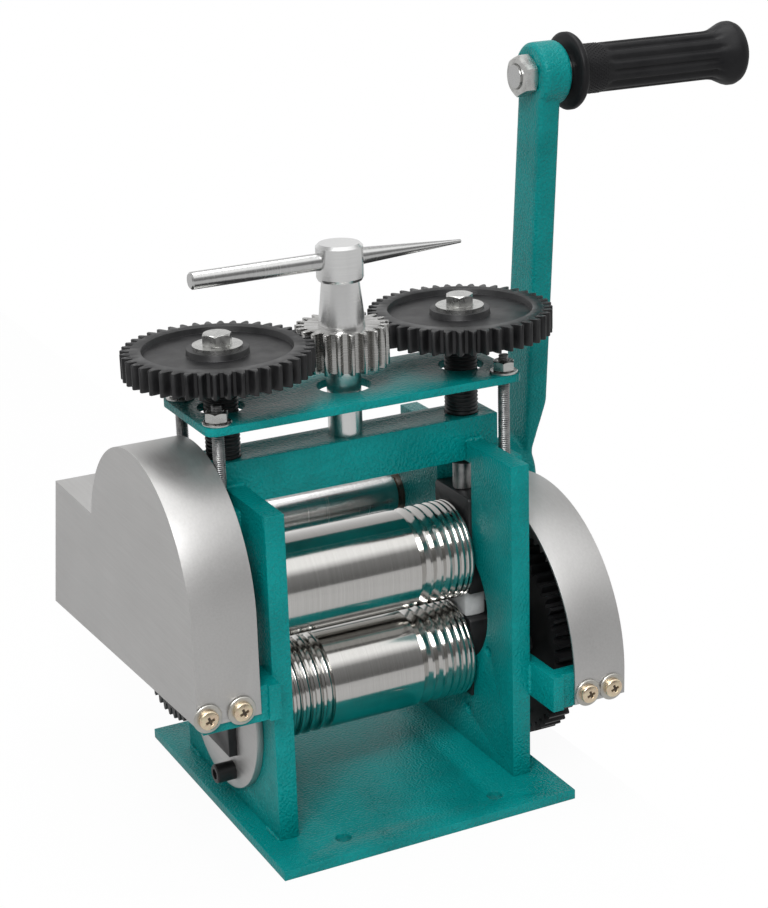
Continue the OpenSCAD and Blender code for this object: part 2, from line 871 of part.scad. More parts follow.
// Size of one groove in a row that grows from the barrel's end inwards
function groove_size(small, large, count, i) = small + (large - small) * i / max(count - 1, 1);

// Distance from the barrel's end to the near edge of one groove
function groove_edge(small, large, count, i) =
    i == 0 ? groove_land
        : groove_edge(small, large, count, i - 1) + 2 * groove_size(small, large, count, i - 1)
            + groove_land;

// Outline of the V grooves at the right end, from the middle of the barrel outwards
v_grooves = [for (k = [0 : groove_count - 1])
    let (i = groove_count - 1 - k,
        d = groove_size(groove_small, groove_large, groove_count, i),
        x = roll_len / 2 - groove_edge(groove_small, groove_large, groove_count, i))
    each [[roll_r, x - 2 * d], [roll_r - d, x - d], [roll_r, x]]];

module roll(axis_z, left_end, right_end, rounds) {
    bevel = 0.6;
    half = roll_len / 2;
    color(steel) along_x(0, 0, axis_z) rotate_extrude($fn = 96) difference() {
        polygon(concat(
            [[0, left_end], [journal_r, left_end], [journal_r, -half],
                [roll_r - bevel, -half], [roll_r, -half + bevel]],
            v_grooves,
            [[roll_r, half - bevel], [roll_r - bevel, half], [journal_r, half],
                [journal_r, right_end], [0, right_end]]));
        for (i = [0 : 1 : rounds - 1]) {
            r = groove_size(round_small, round_large, round_count, i);
            translate([roll_r, groove_edge(round_small, round_large, round_count, i) + r - half])
                circle(r, $fn = 32);
        }
    }
}

journal_over = 1;

module upper_roll() {
    roll(upper_z, left_gear_x - gear_nut_t - journal_over,
        plate_out + upper_block_out + journal_over, 0);
}

module lower_roll() {
    roll(lower_z, -plate_out - lower_block_out - journal_over,
        right_gear_x + bull_w + gear_nut_t + journal_over, round_count);
}

// Direction from each driven gear to the gear that drives it
upper_mesh = atan2(crank_rise, crank_y);
lower_mesh = atan2(idler_z - lower_z, idler_y);
idler_mesh = atan2(crank_z - idler_z, crank_y - idler_y);
bull_web = 3;

// A large gear with a sunk web on both faces
module bull_gear(turn) {
    rim = 8;
    hub = gear_nut_r + 2;
    difference() {
        gear(bull_n, drive_mod, bull_w, journal_r + fit, turn);
        for (z = [-cut, bull_w - bull_web])
            translate([0, 0, z]) ring(bull_r - rim, hub, bull_web + cut);
    }
}

module upper_roll_gear() {
    color(black) along_x(left_gear_x, 0, upper_z)
        bull_gear(mesh_turn(upper_mesh, drive_mod, bull_r, pinion_r, upper_mesh + 180));
}

module lower_roll_gear() {
    color(black) along_x(right_gear_x, 0, lower_z)
        bull_gear(mesh_turn(lower_mesh, drive_mod, bull_r, idler_r, lower_mesh + 180));
}

module gear_nut() {
    difference() {
        ring(gear_nut_r, journal_r + fit, gear_nut_t);
        for (a = [0, 90, 180, 270])
            rotate(a) translate([gear_nut_r - 2.5, -2.5, -cut]) cube([5, 5, gear_nut_t + 2 * cut]);
    }
}

module upper_gear_nut() {
    color(steel) along_x(left_gear_x - gear_nut_t, 0, upper_z) gear_nut();
}

module lower_gear_nut() {
    color(steel) along_x(right_gear_x + bull_w, 0, lower_z) gear_nut();
}

module idler_gear() {
    color(black) along_x(right_gear_x, idler_y, idler_z)
        gear(idler_n, drive_mod, bull_w, idler_axle_r + fit, lower_mesh + 180);
}

module crank_shaft() {
    collar_r = shaft_r + 3;
    collar_t = 4;
    middle_r = shaft_r + 1.5;
    middle_half = plate_in - 1;
    color(steel) {
        along_x(0, crank_y, crank_z) rotate_extrude() polygon([
            [0, -middle_half], [shaft_r, -middle_half], [middle_r, 2 - middle_half],
            [middle_r, middle_half - 2], [shaft_r, middle_half], [0, middle_half]]);
        along_x(crank_left, crank_y, crank_z)
            cylinder(h = arm_foot_out - nut_sunk - crank_left, r = shaft_r);
        along_x(arm_foot_out - nut_sunk - cut, crank_y, crank_z)
            cylinder(h = nut_sunk + cut, r = crank_nut_bore);
        along_x(arm_x - boss_over - collar_t, crank_y, crank_z) cylinder(h = collar_t, r = collar_r);
        for (sx = [0, 1]) mirror([sx, 0, 0])
            along_x(plate_out + 2.3, crank_y, crank_z) cylinder(h = 3, r = collar_r);
    }
}
crank_nut_bore = 6;
boss_over = 10;
// Depth of the crank nut's seat in the arm
nut_sunk = 7.5;

module crank_pinion_left() {
    color(steel) along_x(left_gear_x - pinion_over, crank_y, crank_z)
        gear(pinion_n, drive_mod, pinion_w, shaft_r + fit, upper_mesh + 180);
}

module crank_pinion_right() {
    color(steel) along_x(right_gear_x - pinion_over, crank_y, crank_z)
        gear(pinion_n, drive_mod, pinion_w, shaft_r + fit,
            mesh_turn(idler_mesh + 180, drive_mod, pinion_r, idler_r, lower_mesh + 180));
}

// Place a piece on the crank arm: Z runs from the shaft to the grip
module on_arm() {
    translate([0, crank_y, crank_z]) rotate([arm_lean, 0, 0]) children();
}

module crank_arm() {
    color(body_green) on_arm() difference() {
        union() {
            along_x(arm_x, 0, 0) linear_extrude(arm_t) {
                circle(arm_boss_r);
                polygon([
                    [-arm_foot_w / 2, 0], [arm_foot_w / 2, 0],
                    [arm_head_w / 2, arm_len], [-arm_head_w / 2, arm_len]]);
            }
            along_x(arm_x - boss_over, 0, 0) cylinder(h = boss_over + cut, r = arm_boss_r - 1);
            along_x(arm_x, 0, arm_len) cylinder(h = arm_t + eye_over, r = arm_eye_r);
        }
        along_x(arm_x - boss_over - cut, 0, 0)
            cylinder(h = arm_t + boss_over + 2 * cut, r = shaft_r + fit);
        along_x(arm_foot_out - nut_sunk, 0, 0) cylinder(h = nut_sunk + cut, r = crank_nut_bore + 8);
        along_x(arm_x - cut, 0, arm_len)
            cylinder(h = arm_t + eye_over + 2 * cut, r = grip_pin_r + fit);
        rotate([90, 0, 0]) linear_extrude(4 * arm_boss_r, center = true) polygon([
            [arm_foot_out, -2 * arm_boss_r], [arm_foot_out, arm_foot_len],
            [arm_out, arm_foot_len + arm_foot_slope], [arm_out + cut, arm_foot_len + arm_foot_slope],
            [arm_out + cut, -2 * arm_boss_r]]);
    }
}
eye_over = 4;

module crank_nut() {
    color(zinc) on_arm() along_x(arm_foot_out - nut_sunk, 0, 0) {
        ring(crank_nut_bore + 7, crank_nut_bore + fit, 1.5);
        translate([0, 0, 1.5]) hex_nut(19, nut_sunk - 1.5, crank_nut_bore + fit);
    }
}

grip_nut_t = 8;
grip_room = 0.3;
collar_w = 3;
grip_x = arm_out + eye_over + collar_w + grip_room;
grip_cap = 5;

module grip_spindle() {
    color(steel) on_arm() {
        along_x(arm_x - grip_nut_t - 1, 0, arm_len)
            cylinder(h = grip_x + grip_len - grip_cap - arm_x + grip_nut_t, r = grip_pin_r);
        along_x(arm_out + eye_over, 0, arm_len) cylinder(h = collar_w, r = grip_pin_r + 4);
    }
}

module grip_nut() {
    color(zinc) on_arm() along_x(arm_x - grip_nut_t, 0, arm_len)
        hex_nut(19, grip_nut_t, grip_pin_r + fit);
}

// A moulded grip with a flange at each end and flutes along it
module grip() {
    foot_t = 5;
    end_t = 6;
    neck = 8;
    flute_r = 2;
    bore_end = grip_len - grip_cap;
    color(black) on_arm() along_x(grip_x, 0, arm_len) difference() {
        rotate_extrude() polygon([
            [0, 0], [grip_foot_r - 2, 0], [grip_foot_r, 2], [grip_foot_r, foot_t - 1],
            [grip_r + 1, foot_t + neck], [grip_r, foot_t + 2 * neck],
            [grip_r, grip_len - end_t - neck], [grip_end_r, grip_len - end_t],
            [grip_end_r, grip_len - 3], [grip_end_r - 4, grip_len], [0, grip_len]]);
        translate([0, 0, -cut]) cylinder(h = bore_end + cut, r = grip_pin_r + fit);
        for (i = [0 : flute_count - 1])
            rotate(i * 360 / flute_count)
                translate([grip_r + flute_r * 0.4, 0, foot_t + 2.5 * neck])
                    cylinder(h = grip_len - foot_t - end_t - 4.5 * neck, r = flute_r, $fn = 24);
    }
}

base_plate();
side_plate_left();
side_plate_right();
cross_beam();
top_plate();
top_studs();
stud_nuts();
stud_washers();
lower_block_left();
lower_block_right();
lower_bush_left();
lower_bush_right();
flange_left();
flange_right();
flange_screws();
crank_bush_left();
crank_bush_right();
lift_pad_left();
lift_pad_right();
left_cover();
right_cover();
left_cover_lug();
right_cover_lug();
cover_screws();
cover_washers();
idler_axle();
handle_spindle();
handle_pinion();
handle_hub();
tommy_bar();
press_screw_left();
screw_gear_left();
gear_washer_left();
gear_bolt_left();
press_screw_right();
screw_gear_right();
gear_washer_right();
gear_bolt_right();
upper_block_left();
upper_block_right();
upper_bush_left();
upper_bush_right();
upper_roll();
upper_roll_gear();
upper_gear_nut();
lower_roll();
lower_roll_gear();
lower_gear_nut();
idler_gear();
crank_shaft();
crank_pinion_left();
crank_pinion_right();
crank_arm();
crank_nut();
grip_spindle();
grip_nut();
grip();
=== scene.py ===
"""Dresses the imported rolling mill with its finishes, threads, screw heads, welds and castings.

Sizes are in metres in the model's own frame: X along the rolls, -Y towards the feed side, Z up.
"""
import json
import math
from functools import partial

import bmesh
import bpy
from mathutils import Matrix, Vector


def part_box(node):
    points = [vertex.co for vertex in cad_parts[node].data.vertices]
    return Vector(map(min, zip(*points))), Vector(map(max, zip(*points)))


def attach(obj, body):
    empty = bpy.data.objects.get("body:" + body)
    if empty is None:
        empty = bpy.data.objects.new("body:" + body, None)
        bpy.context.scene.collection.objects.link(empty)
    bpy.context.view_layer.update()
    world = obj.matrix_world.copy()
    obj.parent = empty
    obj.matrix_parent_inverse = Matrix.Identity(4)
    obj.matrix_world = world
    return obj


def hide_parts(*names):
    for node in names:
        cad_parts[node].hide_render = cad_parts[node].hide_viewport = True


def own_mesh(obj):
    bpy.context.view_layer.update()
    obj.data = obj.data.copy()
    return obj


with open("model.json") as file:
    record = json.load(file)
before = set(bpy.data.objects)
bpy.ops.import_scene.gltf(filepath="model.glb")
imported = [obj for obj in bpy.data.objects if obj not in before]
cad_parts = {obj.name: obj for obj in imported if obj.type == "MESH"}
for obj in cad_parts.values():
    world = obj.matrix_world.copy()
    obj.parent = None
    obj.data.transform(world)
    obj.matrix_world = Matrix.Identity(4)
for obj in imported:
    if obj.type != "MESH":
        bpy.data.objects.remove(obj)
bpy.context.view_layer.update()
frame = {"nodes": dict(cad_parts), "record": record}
scene = bpy.context.scene
MM = 0.001
TINY = 1e-7
SIDES = ("left", "right")
SLOT_OF = {part["node"]: part["material_slot"] for part in frame["record"]["subparts"]}
BODY_OF = {
    node: body for body, nodes in frame["record"]["behaviour"]["bodies"].items() for node in nodes
}


def middle(node):
    """Centre of a solid's box."""
    low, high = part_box(node)
    return (low + high) / 2


# Node trees


def feed(tree, target, inputs):
    """Give a node its inputs, each a plain value or the socket that it comes from."""
    for label, value in inputs.items():
        if isinstance(value, bpy.types.NodeSocket):
            tree.links.new(value, target.inputs[label])
        else:
            target.inputs[label].default_value = value
    return target


def add_node(tree, kind, inputs, **settings):
    """Add a node with its settings and inputs."""
    made = tree.nodes.new(kind)
    for label, value in settings.items():
        setattr(made, label, value)
    return feed(tree, made, inputs)


def noise(tree, vector, scale, detail, rough):
    """Cloudy noise with values about one half."""
    return add_node(tree, "ShaderNodeTexNoise", {
        "Vector": vector, "Scale": scale, "Detail": detail, "Roughness": rough}).outputs[0]


def spread(tree, value, low, high, to_low=0.0, to_high=1.0):
    """Map one range of values to another and hold it at the ends."""
    return add_node(tree, "ShaderNodeMapRange", {
        "Value": value, "From Min": low, "From Max": high, "To Min": to_low, "To Max": to_high,
    }).outputs[0]


def calc(tree, operation, a, b=0.0):
    """One step of arithmetic."""
    return add_node(tree, "ShaderNodeMath", {0: a, 1: b}, operation=operation).outputs[0]


def node_group(kind, name, inputs, outputs):
    """Start a node group: its tree, the sockets that it is given and the sockets that it fills."""
    tree = bpy.data.node_groups.new(name, kind)
    for label, socket_type, *value in inputs:
        socket = tree.interface.new_socket(name=label, in_out="INPUT", socket_type=socket_type)
        if value:
            socket.default_value = value[0]
    for label, socket_type in outputs:
        tree.interface.new_socket(name=label, in_out="OUTPUT", socket_type=socket_type)
    given = tree.nodes.new("NodeGroupInput").outputs
    return tree, given, tree.nodes.new("NodeGroupOutput").inputs


# Shader patterns and the finishes made of them


def pattern_group(name, *sizes):
    """Start a pattern that reads a place and gives back a height and a tone."""
    return node_group("ShaderNodeTree", name, [("Vector", "NodeSocketVector"), *sizes],
                      [("Height", "NodeSocketFloat"), ("Tone", "NodeSocketFloat")])


def make_orange_peel():
    """Fine dimples of thick sprayed paint, and a slow change of tone."""
    tree, given, out = pattern_group(
        "orange_peel", ("Dimples", "NodeSocketFloat", 520.0), ("Clouds", "NodeSocketFloat", 26.0))
    dimples = noise(tree, given["Vector"], given["Dimples"], 1.5, 0.45)
    clouds = noise(tree, given["Vector"], given["Clouds"], 3.0, 0.6)
    grain = spread(tree, dimples, 0.3, 0.7, -0.18, 0.18)
    tree.links.new(spread(tree, dimples, 0.32, 0.68), out["Height"])
    tree.links.new(calc(tree, "ADD", spread(tree, clouds, 0.3, 0.7), grain), out["Tone"])
    return tree


def make_drawn_lines():
    """Long fine scratches, as turning, grinding or brushing leaves them."""
    tree, given, out = pattern_group(
        "drawn_lines", ("Stretch", "NodeSocketVector", (3000.0, 20.0, 20.0)))
    scale = add_node(tree, "ShaderNodeVectorMath", {0: given["Vector"], 1: given["Stretch"]},
                     operation="MULTIPLY")
    lines = noise(tree, scale.outputs[0], 1.0, 3.0, 0.65)
    smears = noise(tree, given["Vector"], 34.0, 2.0, 0.5)
    mixed = calc(tree, "ADD", calc(tree, "MULTIPLY", lines, 0.7),
                 calc(tree, "MULTIPLY", smears, 0.3))
    tree.links.new(spread(tree, lines, 0.3, 0.7), out["Height"])
    tree.links.new(spread(tree, mixed, 0.34, 0.66), out["Tone"])
    return tree


def make_mottle():
    """Small blotches of plating, oil film or moulded skin."""
    tree, given, out = pattern_group(
        "mottle", ("Blotches", "NodeSocketFloat", 140.0), ("Grain", "NodeSocketFloat", 1500.0))
    blotches = noise(tree, given["Vector"], given["Blotches"], 3.0, 0.55)
    grain = noise(tree, given["Vector"], given["Grain"], 1.0, 0.5)
    tree.links.new(spread(tree, grain, 0.3, 0.7), out["Height"])
    tree.links.new(spread(tree, blotches, 0.32, 0.68), out["Tone"])
    return tree


ORANGE_PEEL, DRAWN_LINES, MOTTLE = make_orange_peel(), make_drawn_lines(), make_mottle()


def finish(name, group, sizes, dark, light, rough, bump, depth, metal=0.0, gleam=0.5):
    """A material whose colour, gloss and relief come from one shared pattern."""
    material = bpy.data.materials.new(name)
    material.use_nodes = True
    tree = material.node_tree
    place = tree.nodes.new("ShaderNodeTexCoord")
    pattern = add_node(tree, "ShaderNodeGroup", {"Vector": place.outputs["Object"], **sizes},
                       node_tree=group)
    height, tone = pattern.outputs["Height"], pattern.outputs["Tone"]
    colour = add_node(tree, "ShaderNodeMix", {"Factor": tone}, data_type="RGBA")
    ends = {"A": (*dark, 1), "B": (*light, 1)}
    for socket in colour.inputs:
        if socket.type == "RGBA":
            socket.default_value = ends[socket.name]
    relief = add_node(tree, "ShaderNodeBump",
                      {"Strength": bump, "Distance": depth, "Height": height})
    feed(tree, tree.nodes["Principled BSDF"], {
        "Base Color": next(socket for socket in colour.outputs if socket.type == "RGBA"),
        "Roughness": spread(tree, tone, 0.0, 1.0, *rough),
        "Normal": relief.outputs["Normal"],
        "Metallic": metal,
        "Specular IOR Level": gleam,
    })
    return material


def lines_along(axis, fine=2600.0, slow=14.0):
    """Stretch that makes lines run round, or across, one axis."""
    return {"Stretch": tuple(fine if i == axis else slow for i in range(3))}


BRUSHED = {"Stretch": (900.0, 30.0, 900.0)}
GREEN = finish(
    "green_paint", ORANGE_PEEL, {"Dimples": 780.0}, (0.0, 0.183, 0.18), (0.0, 0.276, 0.272),
    (0.27, 0.39), bump=0.95, depth=0.3 * MM, gleam=0.2)
# Lighter green for the rounded edges of the painted parts: a painted highlight along the edges.
GREEN_EDGE_HIGHLIGHT = finish(
    "green_paint_edge_highlight", ORANGE_PEEL, {"Dimples": 300.0}, (0.0, 0.24, 0.236), (0.006, 0.32, 0.315),
    (0.3, 0.42), bump=0.25, depth=0.2 * MM, gleam=0.25)
SHEET_X = finish(
    "satin_sheet", DRAWN_LINES, BRUSHED, (0.5, 0.494, 0.487), (0.56, 0.554, 0.547),
    (0.42, 0.5), bump=0.03, depth=0.05 * MM, metal=0.85)
# Brighter, glossier steel for the rounded edges of the covers and flanges: a painted highlight
# along the edges.
SHEET_EDGE_HIGHLIGHT = finish(
    "sheet_edge_highlight", DRAWN_LINES, BRUSHED, (0.5, 0.5, 0.49), (0.62, 0.62, 0.61),
    (0.22, 0.32), bump=0.05, depth=0.05 * MM, metal=1.0)
ROLL_STEEL = finish(
    "ground_roll", DRAWN_LINES, lines_along(0), (0.56, 0.55, 0.53), (0.64, 0.63, 0.61),
    (0.1, 0.18), bump=0.025, depth=0.03 * MM, metal=1.0)
TURNED_Z = finish(
    "turned_upright", DRAWN_LINES, lines_along(2), (0.74, 0.74, 0.74), (0.86, 0.86, 0.85),
    (0.18, 0.28), bump=0.04, depth=0.04 * MM, metal=1.0)
TURNED_X = finish(
    "turned_level", DRAWN_LINES, lines_along(0, 1200.0), (0.58, 0.58, 0.575), (0.65, 0.65, 0.645),
    (0.2, 0.28), bump=0.01, depth=0.04 * MM, metal=1.0)
PINION_STEEL = finish(
    "pinion_steel", DRAWN_LINES, lines_along(2), (0.4, 0.395, 0.385), (0.52, 0.515, 0.5),
    (0.2, 0.3), bump=0.04, depth=0.04 * MM, metal=1.0)
BLACK = finish(
    "blackened_steel", MOTTLE, {"Blotches": 90.0}, (0.008, 0.008, 0.009), (0.022, 0.022, 0.023),
    (0.34, 0.5), bump=0.12, depth=0.06 * MM, metal=0.25)
# Lighter grey for the rounded edges of the blocks and gear teeth: a painted highlight along the
# edges.
BLACK_EDGE_HIGHLIGHT = finish(
    "blackened_edge_highlight", MOTTLE, {"Blotches": 400.0}, (0.03, 0.03, 0.032), (0.11, 0.11, 0.11),
    (0.25, 0.4), bump=0.05, depth=0.04 * MM, metal=0.7)
ZINC = finish(
    "bright_zinc", MOTTLE, {"Blotches": 260.0}, (0.5, 0.5, 0.49), (0.68, 0.68, 0.66),
    (0.22, 0.36), bump=0.08, depth=0.04 * MM, metal=1.0)
YELLOW_ZINC = finish(
    "yellow_zinc", MOTTLE, {"Blotches": 420.0}, (0.78, 0.6, 0.45), (0.9, 0.79, 0.56),
    (0.22, 0.36), bump=0.08, depth=0.04 * MM, metal=1.0)
DULL_ZINC = finish(
    "dull_zinc", MOTTLE, {"Blotches": 300.0}, (0.5, 0.49, 0.455), (0.6, 0.59, 0.55),
    (0.34, 0.46), bump=0.08, depth=0.04 * MM, metal=1.0)
# Dark brown for the sunken ground of the cover screws' cross recesses: painted shade in the
# recesses.
RECESS_SHADE = finish(
    "recess_painted_shade", MOTTLE, {"Blotches": 600.0}, (0.035, 0.022, 0.012), (0.09, 0.06, 0.03),
    (0.5, 0.65), bump=0.1, depth=0.04 * MM)
STUD_STEEL = finish(
    "stud_steel", MOTTLE, {"Blotches": 320.0}, (0.2, 0.2, 0.205), (0.36, 0.36, 0.355),
    (0.3, 0.44), bump=0.08, depth=0.04 * MM, metal=1.0)
BRONZE = finish(
    "bush_bronze", DRAWN_LINES, lines_along(0), (0.07, 0.055, 0.04), (0.13, 0.1, 0.07),
    (0.34, 0.5), bump=0.08, depth=0.04 * MM, metal=1.0)
RUBBER = finish(
    "pad_rubber", MOTTLE, {}, (0.4, 0.41, 0.41), (0.56, 0.57, 0.57),
    (0.6, 0.8), bump=0.3, depth=0.12 * MM)
GRIP_BLACK = finish(
    "moulded_grip", MOTTLE, {"Blotches": 60.0, "Grain": 900.0}, (0.007, 0.007, 0.008),
    (0.014, 0.014, 0.015), (0.4, 0.52), bump=0.2, depth=0.08 * MM, gleam=0.2)

# Solids that no piece below stands for are shown as they are, in a finish for their slot.
FINISHES = {
    "green_paint": GREEN, "cover_sheet": SHEET_X, "ground_steel": TURNED_Z, "black_steel": BLACK,
    "zinc_plate": ZINC, "yellow_zinc": YELLOW_ZINC, "bush_bronze": BRONZE, "pad_rubber": RUBBER,
    "grip_plastic": GRIP_BLACK,
}
ROLLS = ("upper_roll", "lower_roll")
LEVEL_SHAFTS = ("crank_shaft", "crank_pinion_left", "crank_pinion_right", "idler_axle",
                "upper_gear_nut", "lower_gear_nut", "grip_spindle", "tommy_bar")
for node, piece in frame["nodes"].items():
    piece.data.materials.clear()
    if node in ROLLS:
        piece.data.materials.append(ROLL_STEEL)
    elif node in LEVEL_SHAFTS:
        piece.data.materials.append(TURNED_X)
    else:
        piece.data.materials.append(FINISHES[SLOT_OF[node]])


# Meshes


def put(name, data):
    """Put an object with this mesh, lamp or camera in the scene."""
    holder = bpy.data.objects.new(name, data)
    scene.collection.objects.link(holder)
    return holder


def keep(name, mesh, materials, body, nodes=(), crease=35):
    """Make a finished piece of a mesh: smooth it, give it its finish and put it on its body."""
    mesh.name = name
    for face in mesh.polygons:
        face.use_smooth = True
    mesh.set_sharp_from_angle(angle=math.radians(crease))
    mesh.materials.clear()
    for material in materials:
        mesh.materials.append(material)
    piece = put(name, mesh)
    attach(piece, body)
    if nodes:
        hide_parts(*nodes)
    return piece


def as_mesh(name, bm):
    """Write a bmesh to a new mesh as it is."""
    mesh = bpy.data.meshes.new(name)
    bm.to_mesh(mesh)
    bm.free()
    return mesh


def to_mesh(name, bm):
    """Write a bmesh to a new mesh with doubled points merged and faces turned outwards."""
    bmesh.ops.remove_doubles(bm, verts=bm.verts, dist=TINY)
    bmesh.ops.recalc_face_normals(bm, faces=bm.faces)
    return as_mesh(name, bm)


def bridge(bm, near, far):
    """Join two rings of points with faces; a ring of one point closes to a tip."""
    count = max(len(near), len(far))
    for i in range(count):
        j = (i + 1) % count
        if len(near) == 1:
            bm.faces.new((near[0], far[i], far[j]))
        elif len(far) == 1:
            bm.faces.new((near[i], near[j], far[0]))
        else:
            bm.faces.new((near[i], near[j], far[j], far[i]))


def rings_to_solid(bm, rings, place, loop=False):
    """Add a skin over rings of points, closed from the last ring to the first if it is a loop."""
    made = [[bm.verts.new(place @ Vector(point)) for point in ring] for ring in rings]
    for near, far in zip(made, made[1:]):
        bridge(bm, near, far)
    if loop:
        bridge(bm, made[-1], made[0])


def circle(radius, along, steps):
    """Ring of points round local Z, or one point if the radius is none."""
    if radius < TINY:
        return [(0.0, 0.0, along)]
    turn = 2 * math.pi / steps
    return [(radius * math.cos(i * turn), radius * math.sin(i * turn), along) for i in range(steps)]


def turned(bm, outline, place=Matrix(), steps=48):
    """Revolve (radius, along) points about local Z; an outline off the axis closes on itself."""
    off_axis = outline[0][0] > TINY
    rings_to_solid(bm, [circle(r, z, steps) for r, z in outline], place, off_axis)


def turned_mesh(name, outline, place=Matrix(), steps=48):
    """A mesh of one turned form."""
    bm = bmesh.new()
    turned(bm, outline, place, steps)
    return to_mesh(name, bm)


HEX_STEPS = 48
HEX_FLAT = 0.95
HEX_SLOPE = math.tan(math.radians(30))
COUNTERSINK = 0.8 * MM


def hexagon(bm, flats, low, high, bore, place=Matrix(), top_only=False):
    """A hexagon nut or bolt head with its corners turned off at thirty degrees."""
    inner = HEX_FLAT * flats / 2

    def ring(along, sign):
        points = []
        for i in range(HEX_STEPS):
            angle = 2 * math.pi * i / HEX_STEPS
            off_flat = (360 * i / HEX_STEPS) % 60 - 30
            reach = flats / 2 / math.cos(math.radians(off_flat))
            drop = (reach - inner) * HEX_SLOPE * sign
            points.append((reach * math.cos(angle), reach * math.sin(angle), along + drop))
        return points

    def ground(radius, along):
        return circle(radius, along, HEX_STEPS)

    sink = COUNTERSINK if bore > TINY else 0.0
    rings = [ground(bore, low + sink)]
    if top_only:
        rings.append(ring(low, 0))
    else:
        rings += [ground(bore + sink, low), ground(inner, low), ring(low, 1)]
    rings += [ring(high, -1), ground(inner, high)]
    if sink:
        rings.append(ground(bore + sink, high))
    rings.append(ground(bore, high - sink))
    rings_to_solid(bm, rings, place, bore > TINY)


def along_x(x, y, z, flip=False):
    """Turn local Z to +X, or to -X, and move to a point."""
    turn = Matrix.Rotation(math.radians(-90 if flip else 90), 4, "Y")
    return Matrix.Translation((x, y, z)) @ turn


SAME_POINT, BEVEL_POINT = 2e-6, 1e-6
FLAT_ANGLE = math.radians(0.6)


def softened(node, width, materials, steep=40, segments=2):
    """Stand for a solid with a copy of it whose sharp edges are slightly rounded; the rounded edges
    take the last finish given, a lighter painted highlight where two are given.
    """
    bm = bmesh.new()
    bm.from_mesh(frame["nodes"][node].data)
    bmesh.ops.remove_doubles(bm, verts=bm.verts, dist=SAME_POINT)
    bmesh.ops.dissolve_limit(bm, angle_limit=FLAT_ANGLE, verts=bm.verts, edges=bm.edges)
    sharp = [
        e for e in bm.edges if e.is_manifold and e.calc_face_angle(0.0) > math.radians(steep)
    ]
    bmesh.ops.bevel(bm, geom=sharp, offset=width, segments=segments, profile=0.5, affect="EDGES",
                    clamp_overlap=True, material=len(materials) - 1)
    bmesh.ops.remove_doubles(bm, verts=bm.verts, dist=BEVEL_POINT)
    bmesh.ops.triangulate(bm, faces=[f for f in bm.faces if len(f.verts) > 4])
    name = node + "_dressed"
    return keep(name, as_mesh(name, bm), materials, BODY_OF[node], [node])


def absorb(bm, mesh, place=Matrix()):
    """Add a mesh to a bmesh at a place."""
    copy = mesh.copy()
    copy.transform(place)
    bm.from_mesh(copy)
    bpy.data.meshes.remove(copy)


def settle(holder):
    """Give back what an object's modifiers make as a plain mesh, and remove the object."""
    bpy.context.view_layer.update()
    ready = holder.evaluated_get(bpy.context.evaluated_depsgraph_get())
    mesh = bpy.data.meshes.new_from_object(ready)
    holder.modifiers.clear()
    bpy.data.objects.remove(holder)
    return mesh


def skinned(mesh, voxel, rounds):
    """Melt overlapping closed forms into one smooth skin, as in a casting or a weld."""
    holder = put("holder", mesh)
    melt = holder.modifiers.new("melt", "REMESH")
    melt.mode = "VOXEL"
    melt.voxel_size = voxel
    melt.use_smooth_shade = True
    ease = holder.modifiers.new("ease", "SMOOTH")
    ease.factor = 0.5
    ease.iterations = rounds
    return settle(holder)


def combined(mesh, other, operation):
    """Join two closed forms by UNION, or take the second out of the first by DIFFERENCE."""
    holder, tool = put("holder", mesh), put("tool", other)
    step = holder.modifiers.new("combine", "BOOLEAN")
    step.operation = operation
    step.solver = "EXACT"
    step.object = tool
    result = settle(holder)
    bpy.data.objects.remove(tool)
    return result


# Geometry groups: threads, copies and welds


def geometry_group(name, *inputs):
    """Start a geometry group that ends in one geometry of a given material."""
    return node_group("GeometryNodeTree", name, [*inputs, ("Material", "NodeSocketMaterial")],
                      [("Geometry", "NodeSocketGeometry")])


def close_group(tree, geometry, material, out):
    """End a geometry group: its copies become plain faces of the given material."""
    real = add_node(tree, "GeometryNodeRealizeInstances", {0: geometry})
    paint = add_node(tree, "GeometryNodeSetMaterial",
                     {"Geometry": real.outputs[0], "Material": material})
    tree.links.new(paint.outputs[0], out["Geometry"])


def make_thread():
    """A threaded rod along Z from zero, closed at both ends."""
    tree, given, out = geometry_group(
        "threaded_rod", ("Radius", "NodeSocketFloat"), ("Depth", "NodeSocketFloat"),
        ("Pitch", "NodeSocketFloat"), ("Length", "NodeSocketFloat"), ("Rows", "NodeSocketInt"),
        ("Around", "NodeSocketInt"))
    do = partial(calc, tree)
    crest_width, end_row = 1.25, 0.49999
    grid = add_node(tree, "GeometryNodeMeshGrid", {
        "Vertices X": given["Around"], "Vertices Y": given["Rows"], "Size X": 1.0, "Size Y": 1.0})
    place = tree.nodes.new("GeometryNodeInputPosition")
    split = add_node(tree, "ShaderNodeSeparateXYZ", {0: place.outputs[0]})
    turn = do("ADD", split.outputs["X"], 0.5)
    along = do("MULTIPLY", do("ADD", split.outputs["Y"], 0.5), given["Length"])
    phase = do("FRACT", do("ADD", do("DIVIDE", along, given["Pitch"]), turn))
    wedge = do("ABSOLUTE", do("SUBTRACT", do("MULTIPLY", phase, 2.0), 1.0))
    crest = do("MINIMUM", do("MULTIPLY", wedge, crest_width), 1.0)
    cut = do("MULTIPLY", do("SUBTRACT", 1.0, crest), given["Depth"])
    inside = do("LESS_THAN", do("ABSOLUTE", split.outputs["Y"]), end_row)
    reach = do("MULTIPLY", do("SUBTRACT", given["Radius"], cut), inside)
    angle = do("MULTIPLY", turn, 2 * math.pi)
    join = add_node(tree, "ShaderNodeCombineXYZ", {
        "X": do("MULTIPLY", reach, do("COSINE", angle)),
        "Y": do("MULTIPLY", reach, do("SINE", angle)), "Z": along})
    move = add_node(tree, "GeometryNodeSetPosition",
                    {"Geometry": grid.outputs["Mesh"], "Position": join.outputs[0]})
    merge = add_node(tree, "GeometryNodeMergeByDistance",
                     {"Geometry": move.outputs[0], "Distance": 1e-6})
    close_group(tree, merge.outputs[0], given["Material"], out)
    return tree


